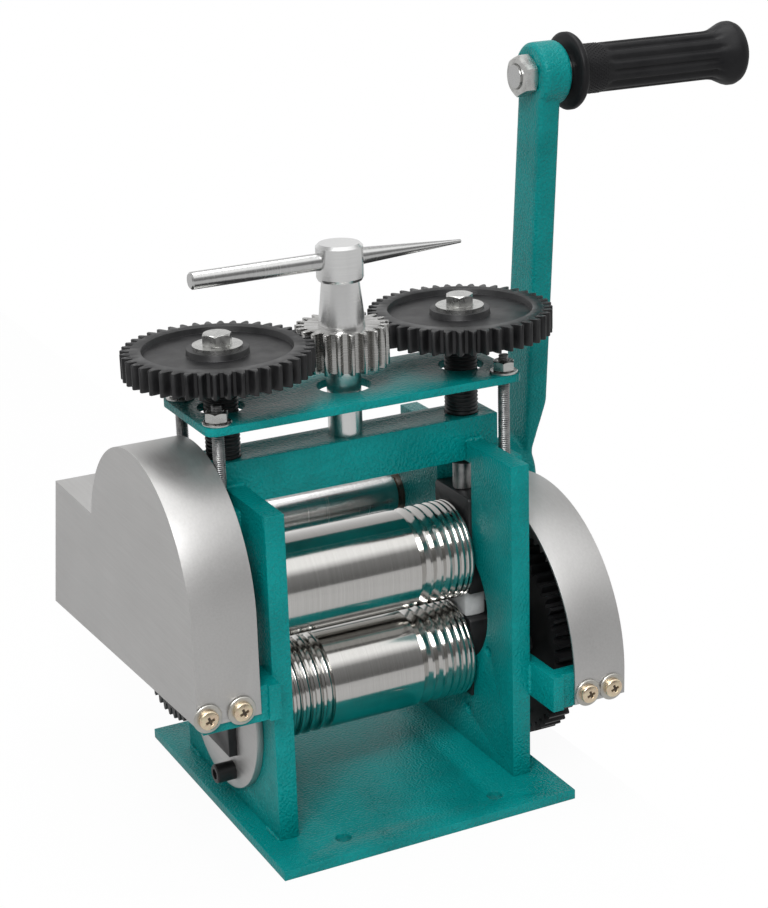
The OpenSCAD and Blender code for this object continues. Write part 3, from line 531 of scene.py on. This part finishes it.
def make_copies():
    """A copy of one pattern piece at each given point."""
    tree, given, out = geometry_group(
        "copies_at_points", ("Points", "NodeSocketGeometry"), ("Pattern", "NodeSocketObject"))
    pattern = add_node(tree, "GeometryNodeObjectInfo", {"Object": given["Pattern"]})
    spots = add_node(tree, "GeometryNodeInstanceOnPoints",
                     {"Points": given["Points"], "Instance": pattern.outputs["Geometry"]})
    close_group(tree, spots.outputs[0], given["Material"], out)
    return tree


def make_weld():
    """Overlapping drops of weld metal in a straight run."""
    tree, given, out = geometry_group(
        "weld_run", ("Start", "NodeSocketVector"), ("End", "NodeSocketVector"),
        ("Drops", "NodeSocketInt"), ("Radius", "NodeSocketFloat"),
        ("Unevenness", "NodeSocketFloat"), ("Seed", "NodeSocketInt"))
    line = add_node(tree, "GeometryNodeMeshLine", {
        "Count": given["Drops"], "Start Location": given["Start"], "Offset": given["End"],
    }, mode="END_POINTS")
    drop = add_node(tree, "GeometryNodeMeshIcoSphere",
                    {"Subdivisions": 2, "Radius": given["Radius"]})
    smallest = calc(tree, "SUBTRACT", 1.0, given["Unevenness"])
    # Inputs 2 and 3 and output 1 of the random node are its plain numbers.
    size = add_node(tree, "FunctionNodeRandomValue", {"Seed": given["Seed"], 2: smallest, 3: 1.0})
    spots = add_node(tree, "GeometryNodeInstanceOnPoints", {
        "Points": line.outputs[0], "Instance": drop.outputs["Mesh"], "Scale": size.outputs[1]})
    close_group(tree, spots.outputs[0], given["Material"], out)
    return tree


THREAD, COPIES, WELD = make_thread(), make_copies(), make_weld()
ROWS_PER_TURN = 6


def grow(tree, values, points=()):
    """Run a geometry group with its named inputs and give back a plain mesh."""
    base = bpy.data.meshes.new("seed_points")
    base.from_pydata([tuple(point) for point in points], [], [])
    holder = put("holder", base)
    modifier = holder.modifiers.new("make", "NODES")
    modifier.node_group = tree
    for socket in tree.interface.items_tree:
        if socket.item_type == "SOCKET" and socket.in_out == "INPUT" and socket.name in values:
            modifier[socket.identifier] = values[socket.name]
    return settle(holder)


def copies(pattern_mesh, points, material):
    """One mesh with a copy of a pattern at each point."""
    pattern = put("pattern", pattern_mesh)
    mesh = grow(COPIES, {"Pattern": pattern, "Material": material}, points)
    bpy.data.objects.remove(pattern)
    return mesh


def rod(radius, depth, pitch, length, material, around=33):
    """A threaded rod that stands on the origin."""
    rows = int(length / pitch * ROWS_PER_TURN) + 1
    return grow(THREAD, {"Radius": radius, "Depth": depth, "Pitch": pitch, "Length": length,
                         "Rows": rows, "Around": around, "Material": material})


# Plates, covers, blocks and gears with eased edges, most of them in a lighter finish as a painted
# highlight

EASED = (
    (("base_plate", "side_plate_left", "side_plate_right", "cross_beam", "top_plate"),
     0.7 * MM, [GREEN, GREEN_EDGE_HIGHLIGHT]),
    (("left_cover_lug", "right_cover_lug"), 0.9 * MM, [GREEN, GREEN_EDGE_HIGHLIGHT]),
    (("left_cover", "right_cover", "flange_left", "flange_right"), 0.5 * MM, [SHEET_X, SHEET_EDGE_HIGHLIGHT]),
    (("upper_block_left", "upper_block_right", "lower_block_left", "lower_block_right"),
     0.5 * MM, [BLACK, BLACK_EDGE_HIGHLIGHT]),
)
for nodes, width, materials in EASED:
    for node in nodes:
        softened(node, width, materials)

TOOTH_EDGE, TOOTH_STEEP = 0.25 * MM, 55
for node, materials in (
    ("screw_gear_left", [BLACK, BLACK_EDGE_HIGHLIGHT]), ("screw_gear_right", [BLACK, BLACK_EDGE_HIGHLIGHT]),
    ("handle_pinion", [PINION_STEEL]),
):
    softened(node, TOOTH_EDGE, materials, steep=TOOTH_STEEP, segments=1)

for pad in ("lift_pad_left", "lift_pad_right"):
    low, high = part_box(pad)
    soft = softened(pad, 1.0 * MM, [RUBBER], segments=3)
    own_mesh(soft)


# Threads of the pressing screws and the top studs

TIP_LENGTH, TIP_R, TIP_BEVEL = 15 * MM, 5 * MM, 0.6 * MM
SCREW_PITCH, SCREW_DEPTH = 2 * MM, 0.7 * MM
SCREW_NECK = 12 * MM
for side in SIDES:
    node = "press_screw_" + side
    low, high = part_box(node)
    axis = middle(node)
    thread = rod((high.x - low.x) / 2, SCREW_DEPTH, SCREW_PITCH,
                 high.z - low.z - TIP_LENGTH - SCREW_NECK, BLACK)
    thread.transform(Matrix.Translation((axis.x, axis.y, low.z + TIP_LENGTH)))
    keep("pressing_thread_" + side, thread, [BLACK], BODY_OF[node], [node],
         crease=60)
    tip = turned_mesh("tip", [(0, 0), (TIP_R - TIP_BEVEL, 0), (TIP_R, TIP_BEVEL),
                              (TIP_R, TIP_LENGTH), (0, TIP_LENGTH)],
                      Matrix.Translation((axis.x, axis.y, low.z)))
    keep("pressing_tip_" + side, tip, [STUD_STEEL], BODY_OF[node])

STUD_R, STUD_END_R, STUD_PITCH = 3 * MM, 2.5 * MM, 1.0 * MM
stud_low, stud_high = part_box("top_studs")
plate_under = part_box("top_plate")[0].z
STUD_SPOTS = [(x, y) for x in (stud_low.x + STUD_R, stud_high.x - STUD_R)
              for y in (stud_low.y + STUD_R, stud_high.y - STUD_R)]
lower_rod = rod(STUD_R, 0.45 * MM, STUD_PITCH, plate_under - stud_low.z, STUD_STEEL, around=21)
upper_rod = rod(STUD_END_R, 0.4 * MM, STUD_PITCH, stud_high.z - plate_under, STUD_STEEL, around=21)
bm = bmesh.new()
for x, y in STUD_SPOTS:
    absorb(bm, lower_rod, Matrix.Translation((x, y, stud_low.z)))
    absorb(bm, upper_rod, Matrix.Translation((x, y, plate_under)))
keep("stud_threads", to_mesh("studs", bm), [STUD_STEEL], "frame", ["top_studs"],
     crease=60)


# Nuts, bolts and screws

nut_low, nut_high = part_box("stud_nuts")
bm = bmesh.new()
hexagon(bm, 10 * MM, 0, nut_high.z - nut_low.z, 2.55 * MM)
nuts = copies(to_mesh("nut", bm), [(x, y, nut_low.z) for x, y in STUD_SPOTS], ZINC)
keep("top_plate_nuts", nuts, [ZINC], "frame", ["stud_nuts"], crease=25)

WASHER_BORE, WASHER_R = 2.6 * MM, 7 * MM
washer_low, washer_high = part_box("stud_washers")
thick = washer_high.z - washer_low.z
washer = turned_mesh("washer", [
    (WASHER_BORE, 0), (WASHER_R - 0.2 * MM, 0), (WASHER_R, 0.2 * MM), (WASHER_R, thick - 0.3 * MM),
    (WASHER_R - 0.3 * MM, thick), (WASHER_BORE + 0.3 * MM, thick), (WASHER_BORE, thick - 0.2 * MM)])
washers = copies(washer, [(x, y, washer_low.z) for x, y in STUD_SPOTS], ZINC)
keep("top_plate_washers", washers, [ZINC], "frame", ["stud_washers"])

BOLT_FLATS, BOLT_SEAT_R = 13 * MM, 6.9 * MM
for side in SIDES:
    node = "gear_bolt_" + side
    axis = middle(node)
    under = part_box("gear_washer_" + side)[1].z
    place = Matrix.Translation((axis.x, axis.y, under))
    bm = bmesh.new()
    turned(bm, [(0, 0), (BOLT_SEAT_R, 0), (BOLT_SEAT_R, 0.5 * MM), (0, 0.5 * MM)], place)
    hexagon(bm, BOLT_FLATS, 0.4 * MM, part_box(node)[1].z - under, 0, place, top_only=True)
    keep(node + "_head", to_mesh("bolt", bm), [ZINC], BODY_OF[node], [node],
         crease=25)


def cross_arm(turn, high):
    """One arm of a cross recess, narrower at its ground; its upper face stands above a head."""
    bm = bmesh.new()
    bmesh.ops.create_cube(bm, size=1.0)
    bmesh.ops.scale(bm, vec=(5.8 * MM, 1.5 * MM, 2.4 * MM), verts=bm.verts)
    for v in bm.verts:
        if v.co.z < 0:
            v.co.x *= 0.4
            v.co.y *= 0.7
    bmesh.ops.rotate(bm, cent=(0, 0, 0), matrix=Matrix.Rotation(math.radians(turn), 3, "Z"),
                     verts=bm.verts)
    bmesh.ops.translate(bm, vec=(0, 0, high), verts=bm.verts)
    return as_mesh("arm", bm)


def cross_head():
    """A pan head with a cross recess, and a dark piece of painted shade at the recess's ground;
    both look along +Z.
    """
    top, reach, edge, fillet = 2.8 * MM, 4.8 * MM, 1.3 * MM, 1.3 * MM
    outline = [(0, 0), (reach, 0), (reach, edge)]
    for degrees in (18, 36, 54, 72):
        a = math.radians(degrees)
        outline.append((reach - fillet + fillet * math.cos(a),
                        edge + 0.85 * fillet * math.sin(a)))
    outline += [(0.5 * reach, top - 0.05 * MM), (0, top)]
    head = turned_mesh("head", outline, steps=40)
    # The arms differ a little in height, so that no two of their faces lie in one plane.
    cross = combined(cross_arm(20, top - 0.5 * MM), cross_arm(110, top - 0.4 * MM), "UNION")
    # The ground is a smaller copy of the cross sunk into the recess, dark brown: painted shade at
    # the bottom of the recess.
    ground = cross.copy()
    ground.transform(Matrix.Translation((0, 0, -1.1 * MM)) @ Matrix.Diagonal((0.72, 0.85, 1, 1)))
    return combined(head, cross, "DIFFERENCE"), ground


FACING_FRONT = Matrix.Rotation(math.radians(90), 4, "X")
COVER_WASHER_T = 1.2 * MM
COVER_SCREWS = []
rings_low, rings_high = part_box("cover_washers")
for side, inner, height, offsets in (
    ("left", 1, rings_high.z - WASHER_R, (-10, -27)), ("right", 0, rings_low.z + WASHER_R, (7, 21)),
):
    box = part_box(side + "_cover")
    COVER_SCREWS += [(box[inner].x + offset * MM, box[0].y, height) for offset in offsets]
ON_WASHERS = [(x, y - COVER_WASHER_T, z) for x, y, z in COVER_SCREWS]
head_mesh, recess_shade_mesh = cross_head()
for mesh in (head_mesh, recess_shade_mesh):
    mesh.transform(FACING_FRONT)
heads = copies(head_mesh, ON_WASHERS, YELLOW_ZINC)
keep("cover_screw_heads", heads, [YELLOW_ZINC], "frame", ["cover_screws"], crease=30)
# Dark pieces at the bottom of the cross recesses: painted shade.
recess_shades = copies(recess_shade_mesh, ON_WASHERS, RECESS_SHADE)
keep("cover_screw_recesses", recess_shades, [RECESS_SHADE], "frame")
ring = turned_mesh("ring", [
    (WASHER_BORE, 0), (WASHER_R - 0.3 * MM, 0), (WASHER_R, 0.3 * MM),
    (WASHER_R, COVER_WASHER_T - 0.3 * MM), (WASHER_R - 0.3 * MM, COVER_WASHER_T),
    (WASHER_BORE, COVER_WASHER_T)], FACING_FRONT)
rings = copies(ring, COVER_SCREWS, DULL_ZINC)
keep("cover_screw_washers", rings, [DULL_ZINC], "frame", ["cover_washers"])


def socket_head():
    """A cap screw head with a hexagon socket; it stands on z = 0 and looks along +Z."""
    reach, top, bevel = 4.8 * MM, 10 * MM, 0.6 * MM
    key_r, ground, shoulder, above = 2.9 * MM, 6 * MM, 6.5 * MM, 12 * MM
    head = turned_mesh("cap", [(0, 0), (reach, 0), (reach, top - bevel), (reach - bevel, top),
                               (0, top)], steps=40)
    socket = turned_mesh("socket", [(0, ground), (key_r, shoulder), (key_r, above), (0, above)],
                         steps=6)
    return combined(head, socket, "DIFFERENCE")


FLANGE_BOLT_R, FLANGE_BOLT_TURNS = 34.5 * MM, (165, -110, 15)
lower_axis = middle("lower_roll")
bm = bmesh.new()
cap = socket_head()
for side, flip in (("left", True), ("right", False)):
    low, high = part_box("flange_" + side)
    spots = []
    for degrees in FLANGE_BOLT_TURNS:
        a = math.radians(degrees)
        spots.append((low.x if flip else high.x, FLANGE_BOLT_R * math.cos(a),
                      lower_axis.z + FLANGE_BOLT_R * math.sin(a)))
    laid = cap.copy()
    laid.transform(along_x(0, 0, 0, flip))
    absorb(bm, copies(laid, spots, BLACK))
keep("flange_screw_heads", to_mesh("caps", bm), [BLACK], "frame", ["flange_screws"],
     crease=30)


# Welds

PLATE_OUT = 70 * MM
FOOT_WELDS, FOOT_WELD_HALF = (-50 * MM, 50 * MM), 6 * MM
BEAM_WELD = (61 * MM, 69 * MM)
LUG_WELD_Y, LUG_WELD_END = -58 * MM, 2 * MM
DROP_STEP = 1.1 * MM


def weld_runs():
    """Fillets at the feet of the side plates, under the beam's ends and at the cover lugs."""
    base_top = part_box("base_plate")[1].z
    beam_low, beam_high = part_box("cross_beam")
    runs = []
    for side, sign in zip(SIDES, (-1, 1)):
        plate_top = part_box("side_plate_" + side)[1].z
        lug_low, lug_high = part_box(side + "_cover_lug")
        out = sign * PLATE_OUT
        for y in FOOT_WELDS:
            runs.append(((out, y - FOOT_WELD_HALF, base_top), (out, y + FOOT_WELD_HALF, base_top),
                         1.7 * MM))
        for y in (beam_low.y, beam_high.y):
            start, end = ((sign * x, y, plate_top) for x in BEAM_WELD)
            runs.append((start, end, 1.8 * MM))
        runs.append(((out, LUG_WELD_Y, lug_low.z + LUG_WELD_END),
                     (out, LUG_WELD_Y, lug_high.z - LUG_WELD_END), 1.6 * MM))
    bm = bmesh.new()
    for seed, (start, end, radius) in enumerate(runs, 1):
        count = max(4, int((Vector(end) - Vector(start)).length / DROP_STEP))
        absorb(bm, grow(WELD, {"Start": start, "End": end, "Drops": count, "Radius": radius,
                               "Unevenness": 0.35, "Seed": seed, "Material": GREEN}))
    return skinned(as_mesh("welds", bm), 0.45 * MM, rounds=2)


keep("frame_welds", weld_runs(), [GREEN], "frame", crease=80)


# Crank arm, nuts and grip

SHAFT, EYE = middle("crank_shaft"), middle("grip")
arm_low, arm_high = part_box("crank_arm")
ARM_LEAN = math.atan2(SHAFT.y - EYE.y, EYE.z - SHAFT.z)
ARM_LEN = math.hypot(SHAFT.y - EYE.y, EYE.z - SHAFT.z)
ON_ARM = Matrix.Translation((0, SHAFT.y, SHAFT.z)) @ Matrix.Rotation(ARM_LEAN, 4, "X")
AT_SHAFT, AT_EYE = ON_ARM @ along_x(0, 0, 0), ON_ARM @ along_x(0, 0, ARM_LEN)
ARM_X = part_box("grip_nut")[1].x
ARM_T = 13 * MM
ARM_FOOT_W, ARM_HEAD_W, BOSS_R, EYE_R = 26 * MM, 24 * MM, 19 * MM, 16.5 * MM
BOSS_INNER_R, NUT_SEAT_R = 18 * MM, 14 * MM
NUT_SEAT, FOOT_OUT = (corner.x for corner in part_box("crank_nut"))
FOOT_LEN, FOOT_SLOPE = 16 * MM, 26 * MM
CAST_EDGE = 2 * MM


def arm_bar(rows=56, around=24, square=0.28):
    """Rings of the arm's bar, nearly square, thick at its foot and thinner towards the eye."""
    rings = []
    for i in range(rows + 1):
        t = i / rows
        z = t * ARM_LEN
        half = (ARM_FOOT_W + (ARM_HEAD_W - ARM_FOOT_W) * t) / 2
        grown = min(max((z - FOOT_LEN) / FOOT_SLOPE, 0), 1)
        thick = (1 - grown) * (FOOT_OUT - ARM_X) + grown * ARM_T
        ring = []
        for k in range(around):
            a = 2 * math.pi * k / around
            c, s = math.cos(a), math.sin(a)
            x = ARM_X + thick / 2 + thick / 2 * math.copysign(abs(s) ** square, s)
            ring.append((x, half * math.copysign(abs(c) ** square, c), z))
        rings.append(ring)
    foot, head = ((ARM_X + FOOT_OUT) / 2, 0, 0), (ARM_X + ARM_T / 2, 0, ARM_LEN)
    return [[foot], *rings, [head]]


def crank_casting():
    """The arm's bar, boss and eye, melted into one casting, with a seat for the crank's nut."""
    ease = CAST_EDGE
    bm = bmesh.new()
    rings_to_solid(bm, arm_bar(), ON_ARM)
    turned(bm, [(0, arm_low.x), (BOSS_INNER_R - ease, arm_low.x), (BOSS_INNER_R, arm_low.x + ease),
                (BOSS_INNER_R, ARM_X), (BOSS_R, ARM_X + 0.5 * MM), (BOSS_R, FOOT_OUT - ease),
                (BOSS_R - ease, FOOT_OUT), (0, FOOT_OUT)], AT_SHAFT)
    turned(bm, [(0, ARM_X), (EYE_R - ease, ARM_X), (EYE_R, ARM_X + ease),
                (EYE_R, arm_high.x - ease), (EYE_R - ease, arm_high.x), (0, arm_high.x)], AT_EYE)
    casting = skinned(to_mesh("arm", bm), 0.9 * MM, rounds=5)
    above = FOOT_OUT + 2 * MM
    seat = turned_mesh("seat", [(0, NUT_SEAT), (NUT_SEAT_R, NUT_SEAT), (NUT_SEAT_R, above),
                                (0, above)], AT_SHAFT, 64)
    return combined(casting, seat, "DIFFERENCE")


keep("crank_casting", crank_casting(), [GREEN], "crank", ["crank_arm"], crease=80)

NUT_FLATS, NUT_BORE = 19 * MM, 6.05 * MM
COLLAR_R, COLLAR_T = 13 * MM, 1.5 * MM
low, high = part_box("grip_nut")
bm = bmesh.new()
hexagon(bm, NUT_FLATS, low.x, high.x, NUT_BORE, AT_EYE)
keep("grip_lock_nut", to_mesh("nut", bm), [ZINC], "crank", ["grip_nut"], crease=25)
low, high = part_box("crank_nut")
collar_out = low.x + COLLAR_T
bm = bmesh.new()
turned(bm, [(NUT_BORE, low.x), (COLLAR_R - 0.2 * MM, low.x), (COLLAR_R, low.x + 0.3 * MM),
            (COLLAR_R, collar_out - 0.3 * MM), (COLLAR_R - 0.3 * MM, collar_out),
            (NUT_BORE, collar_out)], AT_SHAFT)
hexagon(bm, NUT_FLATS, collar_out, high.x, NUT_BORE, AT_SHAFT)
keep("crank_lock_nut", to_mesh("nut", bm), [ZINC], "crank", ["crank_nut"], crease=25)

grip_low, grip_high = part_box("grip")
GRIP_PLACE = ON_ARM @ along_x(grip_low.x, 0, ARM_LEN)
GRIP_STEPS, GRIP_BORE, GRIP_BORE_END = 144, 6.2, 96
RIBS, RIB_DEPTH, RIB_SHARP = 12, 1.5 * MM, 2.2
# Where the hollows between the ribs begin and end along the grip, and how far they take to do so.
RIB_FOOT, RIB_FOOT_RUN, RIB_END, RIB_END_RUN = 21, 4, 95, 6
# Stations of the grip in millimetres, along and outwards: flange, pips, ribs, flared end.
GRIP_STATIONS = (
    (0, GRIP_BORE), (0, 17.5), (0.4, 19.2), (1.2, 20), (3.2, 20), (4.2, 19.4), (4.8, 18),
    (5.2, 14.2), (6.2, 13.2), (8, 12.9), (12, 12.7), (16, 12.7), (20, 12.7), (22, 12.7),
    (23, 12.8), (24.5, 12.8), (27, 12.8), (40, 12.8), (60, 12.8), (75, 12.8), (87, 12.8),
    (89.5, 12.9), (92, 13.3), (95, 14.2), (98, 15.5), (100.5, 16.6), (102, 17), (104, 17),
    (106, 16.2), (107.4, 14.4), ((grip_high.x - grip_low.x) / MM, 11.5),
)


def moulded_grip():
    """A handle grip with broad ribs, a flange at its foot and a flared end."""
    rings = [circle(0, GRIP_BORE_END * MM, GRIP_STEPS),
             circle(GRIP_BORE * MM, GRIP_BORE_END * MM, GRIP_STEPS)]
    for along, radius in GRIP_STATIONS:
        begun = min(max((along - RIB_FOOT) / RIB_FOOT_RUN, 0), 1)
        hollow = RIB_DEPTH * begun * min(max((RIB_END - along) / RIB_END_RUN, 0), 1)
        ring = []
        for k in range(GRIP_STEPS):
            a = 2 * math.pi * k / GRIP_STEPS
            wave = 0.5 - 0.5 * math.cos(RIBS * a)
            r = radius * MM - hollow * (1 - wave) ** RIB_SHARP
            ring.append((r * math.cos(a), r * math.sin(a), along * MM))
        rings.append(ring)
    rings.append([(0, 0, grip_high.x - grip_low.x)])
    bm = bmesh.new()
    rings_to_solid(bm, rings, GRIP_PLACE)
    return to_mesh("grip", bm)


keep("grip_moulding", moulded_grip(), [GRIP_BLACK], "grip", ["grip"], crease=50)

PIP_ROWS, PIPS_ROUND, PIP_R = 9, 42, 0.42 * MM
PIP_REACH, PIP_START, PIP_STEP = 12.7 * MM, 9 * MM, 1.4 * MM
bm = bmesh.new()
bmesh.ops.create_icosphere(bm, subdivisions=1, radius=PIP_R)
dot = to_mesh("dot", bm)
spots = []
for row in range(PIP_ROWS):
    for k in range(PIPS_ROUND):
        a = 2 * math.pi * (k + 0.5 * (row % 2)) / PIPS_ROUND
        spots.append(GRIP_PLACE @ Vector((PIP_REACH * math.cos(a), PIP_REACH * math.sin(a),
                                          PIP_START + PIP_STEP * row)))
keep("grip_pips", copies(dot, spots, GRIP_BLACK), [GRIP_BLACK], "grip", crease=80)


# Stage, light and camera

WHITE = (1, 1, 1, 1)
# Brightness of the floor in reflections, and the share of it that glows and takes no shadow.
TABLE_GLEAM, GLOW_SHARE = 0.62, 0.95
# The floor is a bench top that ends beside the base, so that the crank can pass its edge.
FLOOR, BENCH_EDGE = 8.0, 0.11


def floor_material():
    """White to the camera, grey in reflections, and a plain pale surface to other light."""
    material = bpy.data.materials.new("studio_floor")
    material.use_nodes = True
    tree = material.node_tree
    shader = feed(tree, tree.nodes["Principled BSDF"], {
        "Base Color": (0.9, 0.9, 0.9, 1), "Roughness": 0.9, "Specular IOR Level": 0.0})
    path = tree.nodes.new("ShaderNodeLightPath").outputs
    strength = spread(tree, path["Is Camera Ray"], 0.0, 1.0, TABLE_GLEAM, 1.0)
    glow = add_node(tree, "ShaderNodeEmission", {"Color": WHITE, "Strength": strength})
    seen = calc(tree, "MAXIMUM", path["Is Camera Ray"], path["Is Glossy Ray"])
    mix = add_node(tree, "ShaderNodeMixShader", {
        "Fac": calc(tree, "MULTIPLY", seen, GLOW_SHARE), 1: shader.outputs[0], 2: glow.outputs[0]})
    tree.links.new(mix.outputs[0], tree.nodes["Material Output"].inputs["Surface"])
    return material


bpy.ops.mesh.primitive_plane_add(size=FLOOR, location=(BENCH_EDGE - FLOOR / 2, 0, 0))
floor = bpy.context.object
floor.name = "studio_floor"
floor.data.materials.append(floor_material())


def studio_world():
    """White to the camera, an even fill for the object, and a studio of light in reflections."""
    world = bpy.data.worlds.new("studio")
    world.use_nodes = True
    tree = world.node_tree
    do, span = partial(calc, tree), partial(spread, tree)
    path = tree.nodes.new("ShaderNodeLightPath").outputs
    place = tree.nodes.new("ShaderNodeTexCoord")
    split = add_node(tree, "ShaderNodeSeparateXYZ", {0: place.outputs["Generated"]})
    deep, high = split.outputs["Y"], split.outputs["Z"]
    # In front a dark horizon under a high bright band; behind, a pale wall that dims upwards.
    front = span(deep, -0.25, 0.25, 1.0, 0.0)
    band = do("ADD", span(high, 0.0, 0.6, 0.13, 0.28), span(high, 0.55, 0.74, 0.0, 1.0))
    behind = span(high, 0.1, 0.8, 0.95, 0.4)
    sky = do("ADD", do("MULTIPLY", front, band),
             do("MULTIPLY", do("SUBTRACT", 1.0, front), behind))
    # Past the bench's edge a reflection goes on below the horizon and looks like the table.
    below = do("LESS_THAN", high, 0.0)
    sky = do("ADD", do("MULTIPLY", do("SUBTRACT", 1.0, below), sky),
             do("MULTIPLY", below, TABLE_GLEAM))
    mirrored = do("MULTIPLY", path["Is Glossy Ray"], sky)
    fill = span(path["Is Glossy Ray"], 0.0, 1.0, 0.4, 0.0)
    seen = do("MAXIMUM", path["Is Camera Ray"], path["Is Transmission Ray"])
    feed(tree, tree.nodes["Background"], {
        "Color": WHITE, "Strength": do("MAXIMUM", seen, do("MAXIMUM", mirrored, fill))})
    return world


scene.world = studio_world()


def softbox(name, place, size, watts, target=(0, 0, 0.15)):
    """A wide soft lamp that looks at the machine."""
    lamp = bpy.data.lights.new(name, "AREA")
    lamp.shape = "RECTANGLE"
    lamp.size, lamp.size_y = size
    lamp.energy = watts
    holder = put(name, lamp)
    holder.location = place
    holder.rotation_euler = (Vector(target) - Vector(place)).to_track_quat("-Z", "Y").to_euler()


softbox("key", (-0.9, -1.3, 1.7), (1.0, 1.0), 30)
softbox("side", (1.6, -0.7, 1.0), (1.3, 1.5), 3)
softbox("top", (0.1, 0.5, 1.9), (1.2, 1.2), 14)

# The camera was fitted to the frame's corners in the photo.
AZIMUTH, ELEVATION, ROLL = (math.radians(turn) for turn in (-26.4475, 19.2458, -1.6735))
EYE_AT = (-0.41118, -0.86827, 0.50869)
PHOTO_W, FOCAL_PX = 768, 2062.44
ahead = Vector((-math.sin(AZIMUTH) * math.cos(ELEVATION), math.cos(AZIMUTH) * math.cos(ELEVATION),
                -math.sin(ELEVATION)))
right = ahead.cross(Vector((0, 0, 1))).normalized()
up = right.cross(ahead)
rolled_right = math.cos(ROLL) * right + math.sin(ROLL) * up
rolled_up = math.cos(ROLL) * up - math.sin(ROLL) * right
eye = bpy.data.cameras.new("photo_view")
eye.sensor_fit = "HORIZONTAL"
eye.sensor_width = 36
eye.lens = FOCAL_PX / PHOTO_W * eye.sensor_width
eye.shift_y = -0.003
eye.clip_start, eye.clip_end = 0.05, 20
camera = put("photo_view", eye)
camera.matrix_world = Matrix.Translation(EYE_AT) @ Matrix(
    (rolled_right, rolled_up, -ahead)).transposed().to_4x4()
scene.camera = camera
scene.view_settings.view_transform = "Standard"
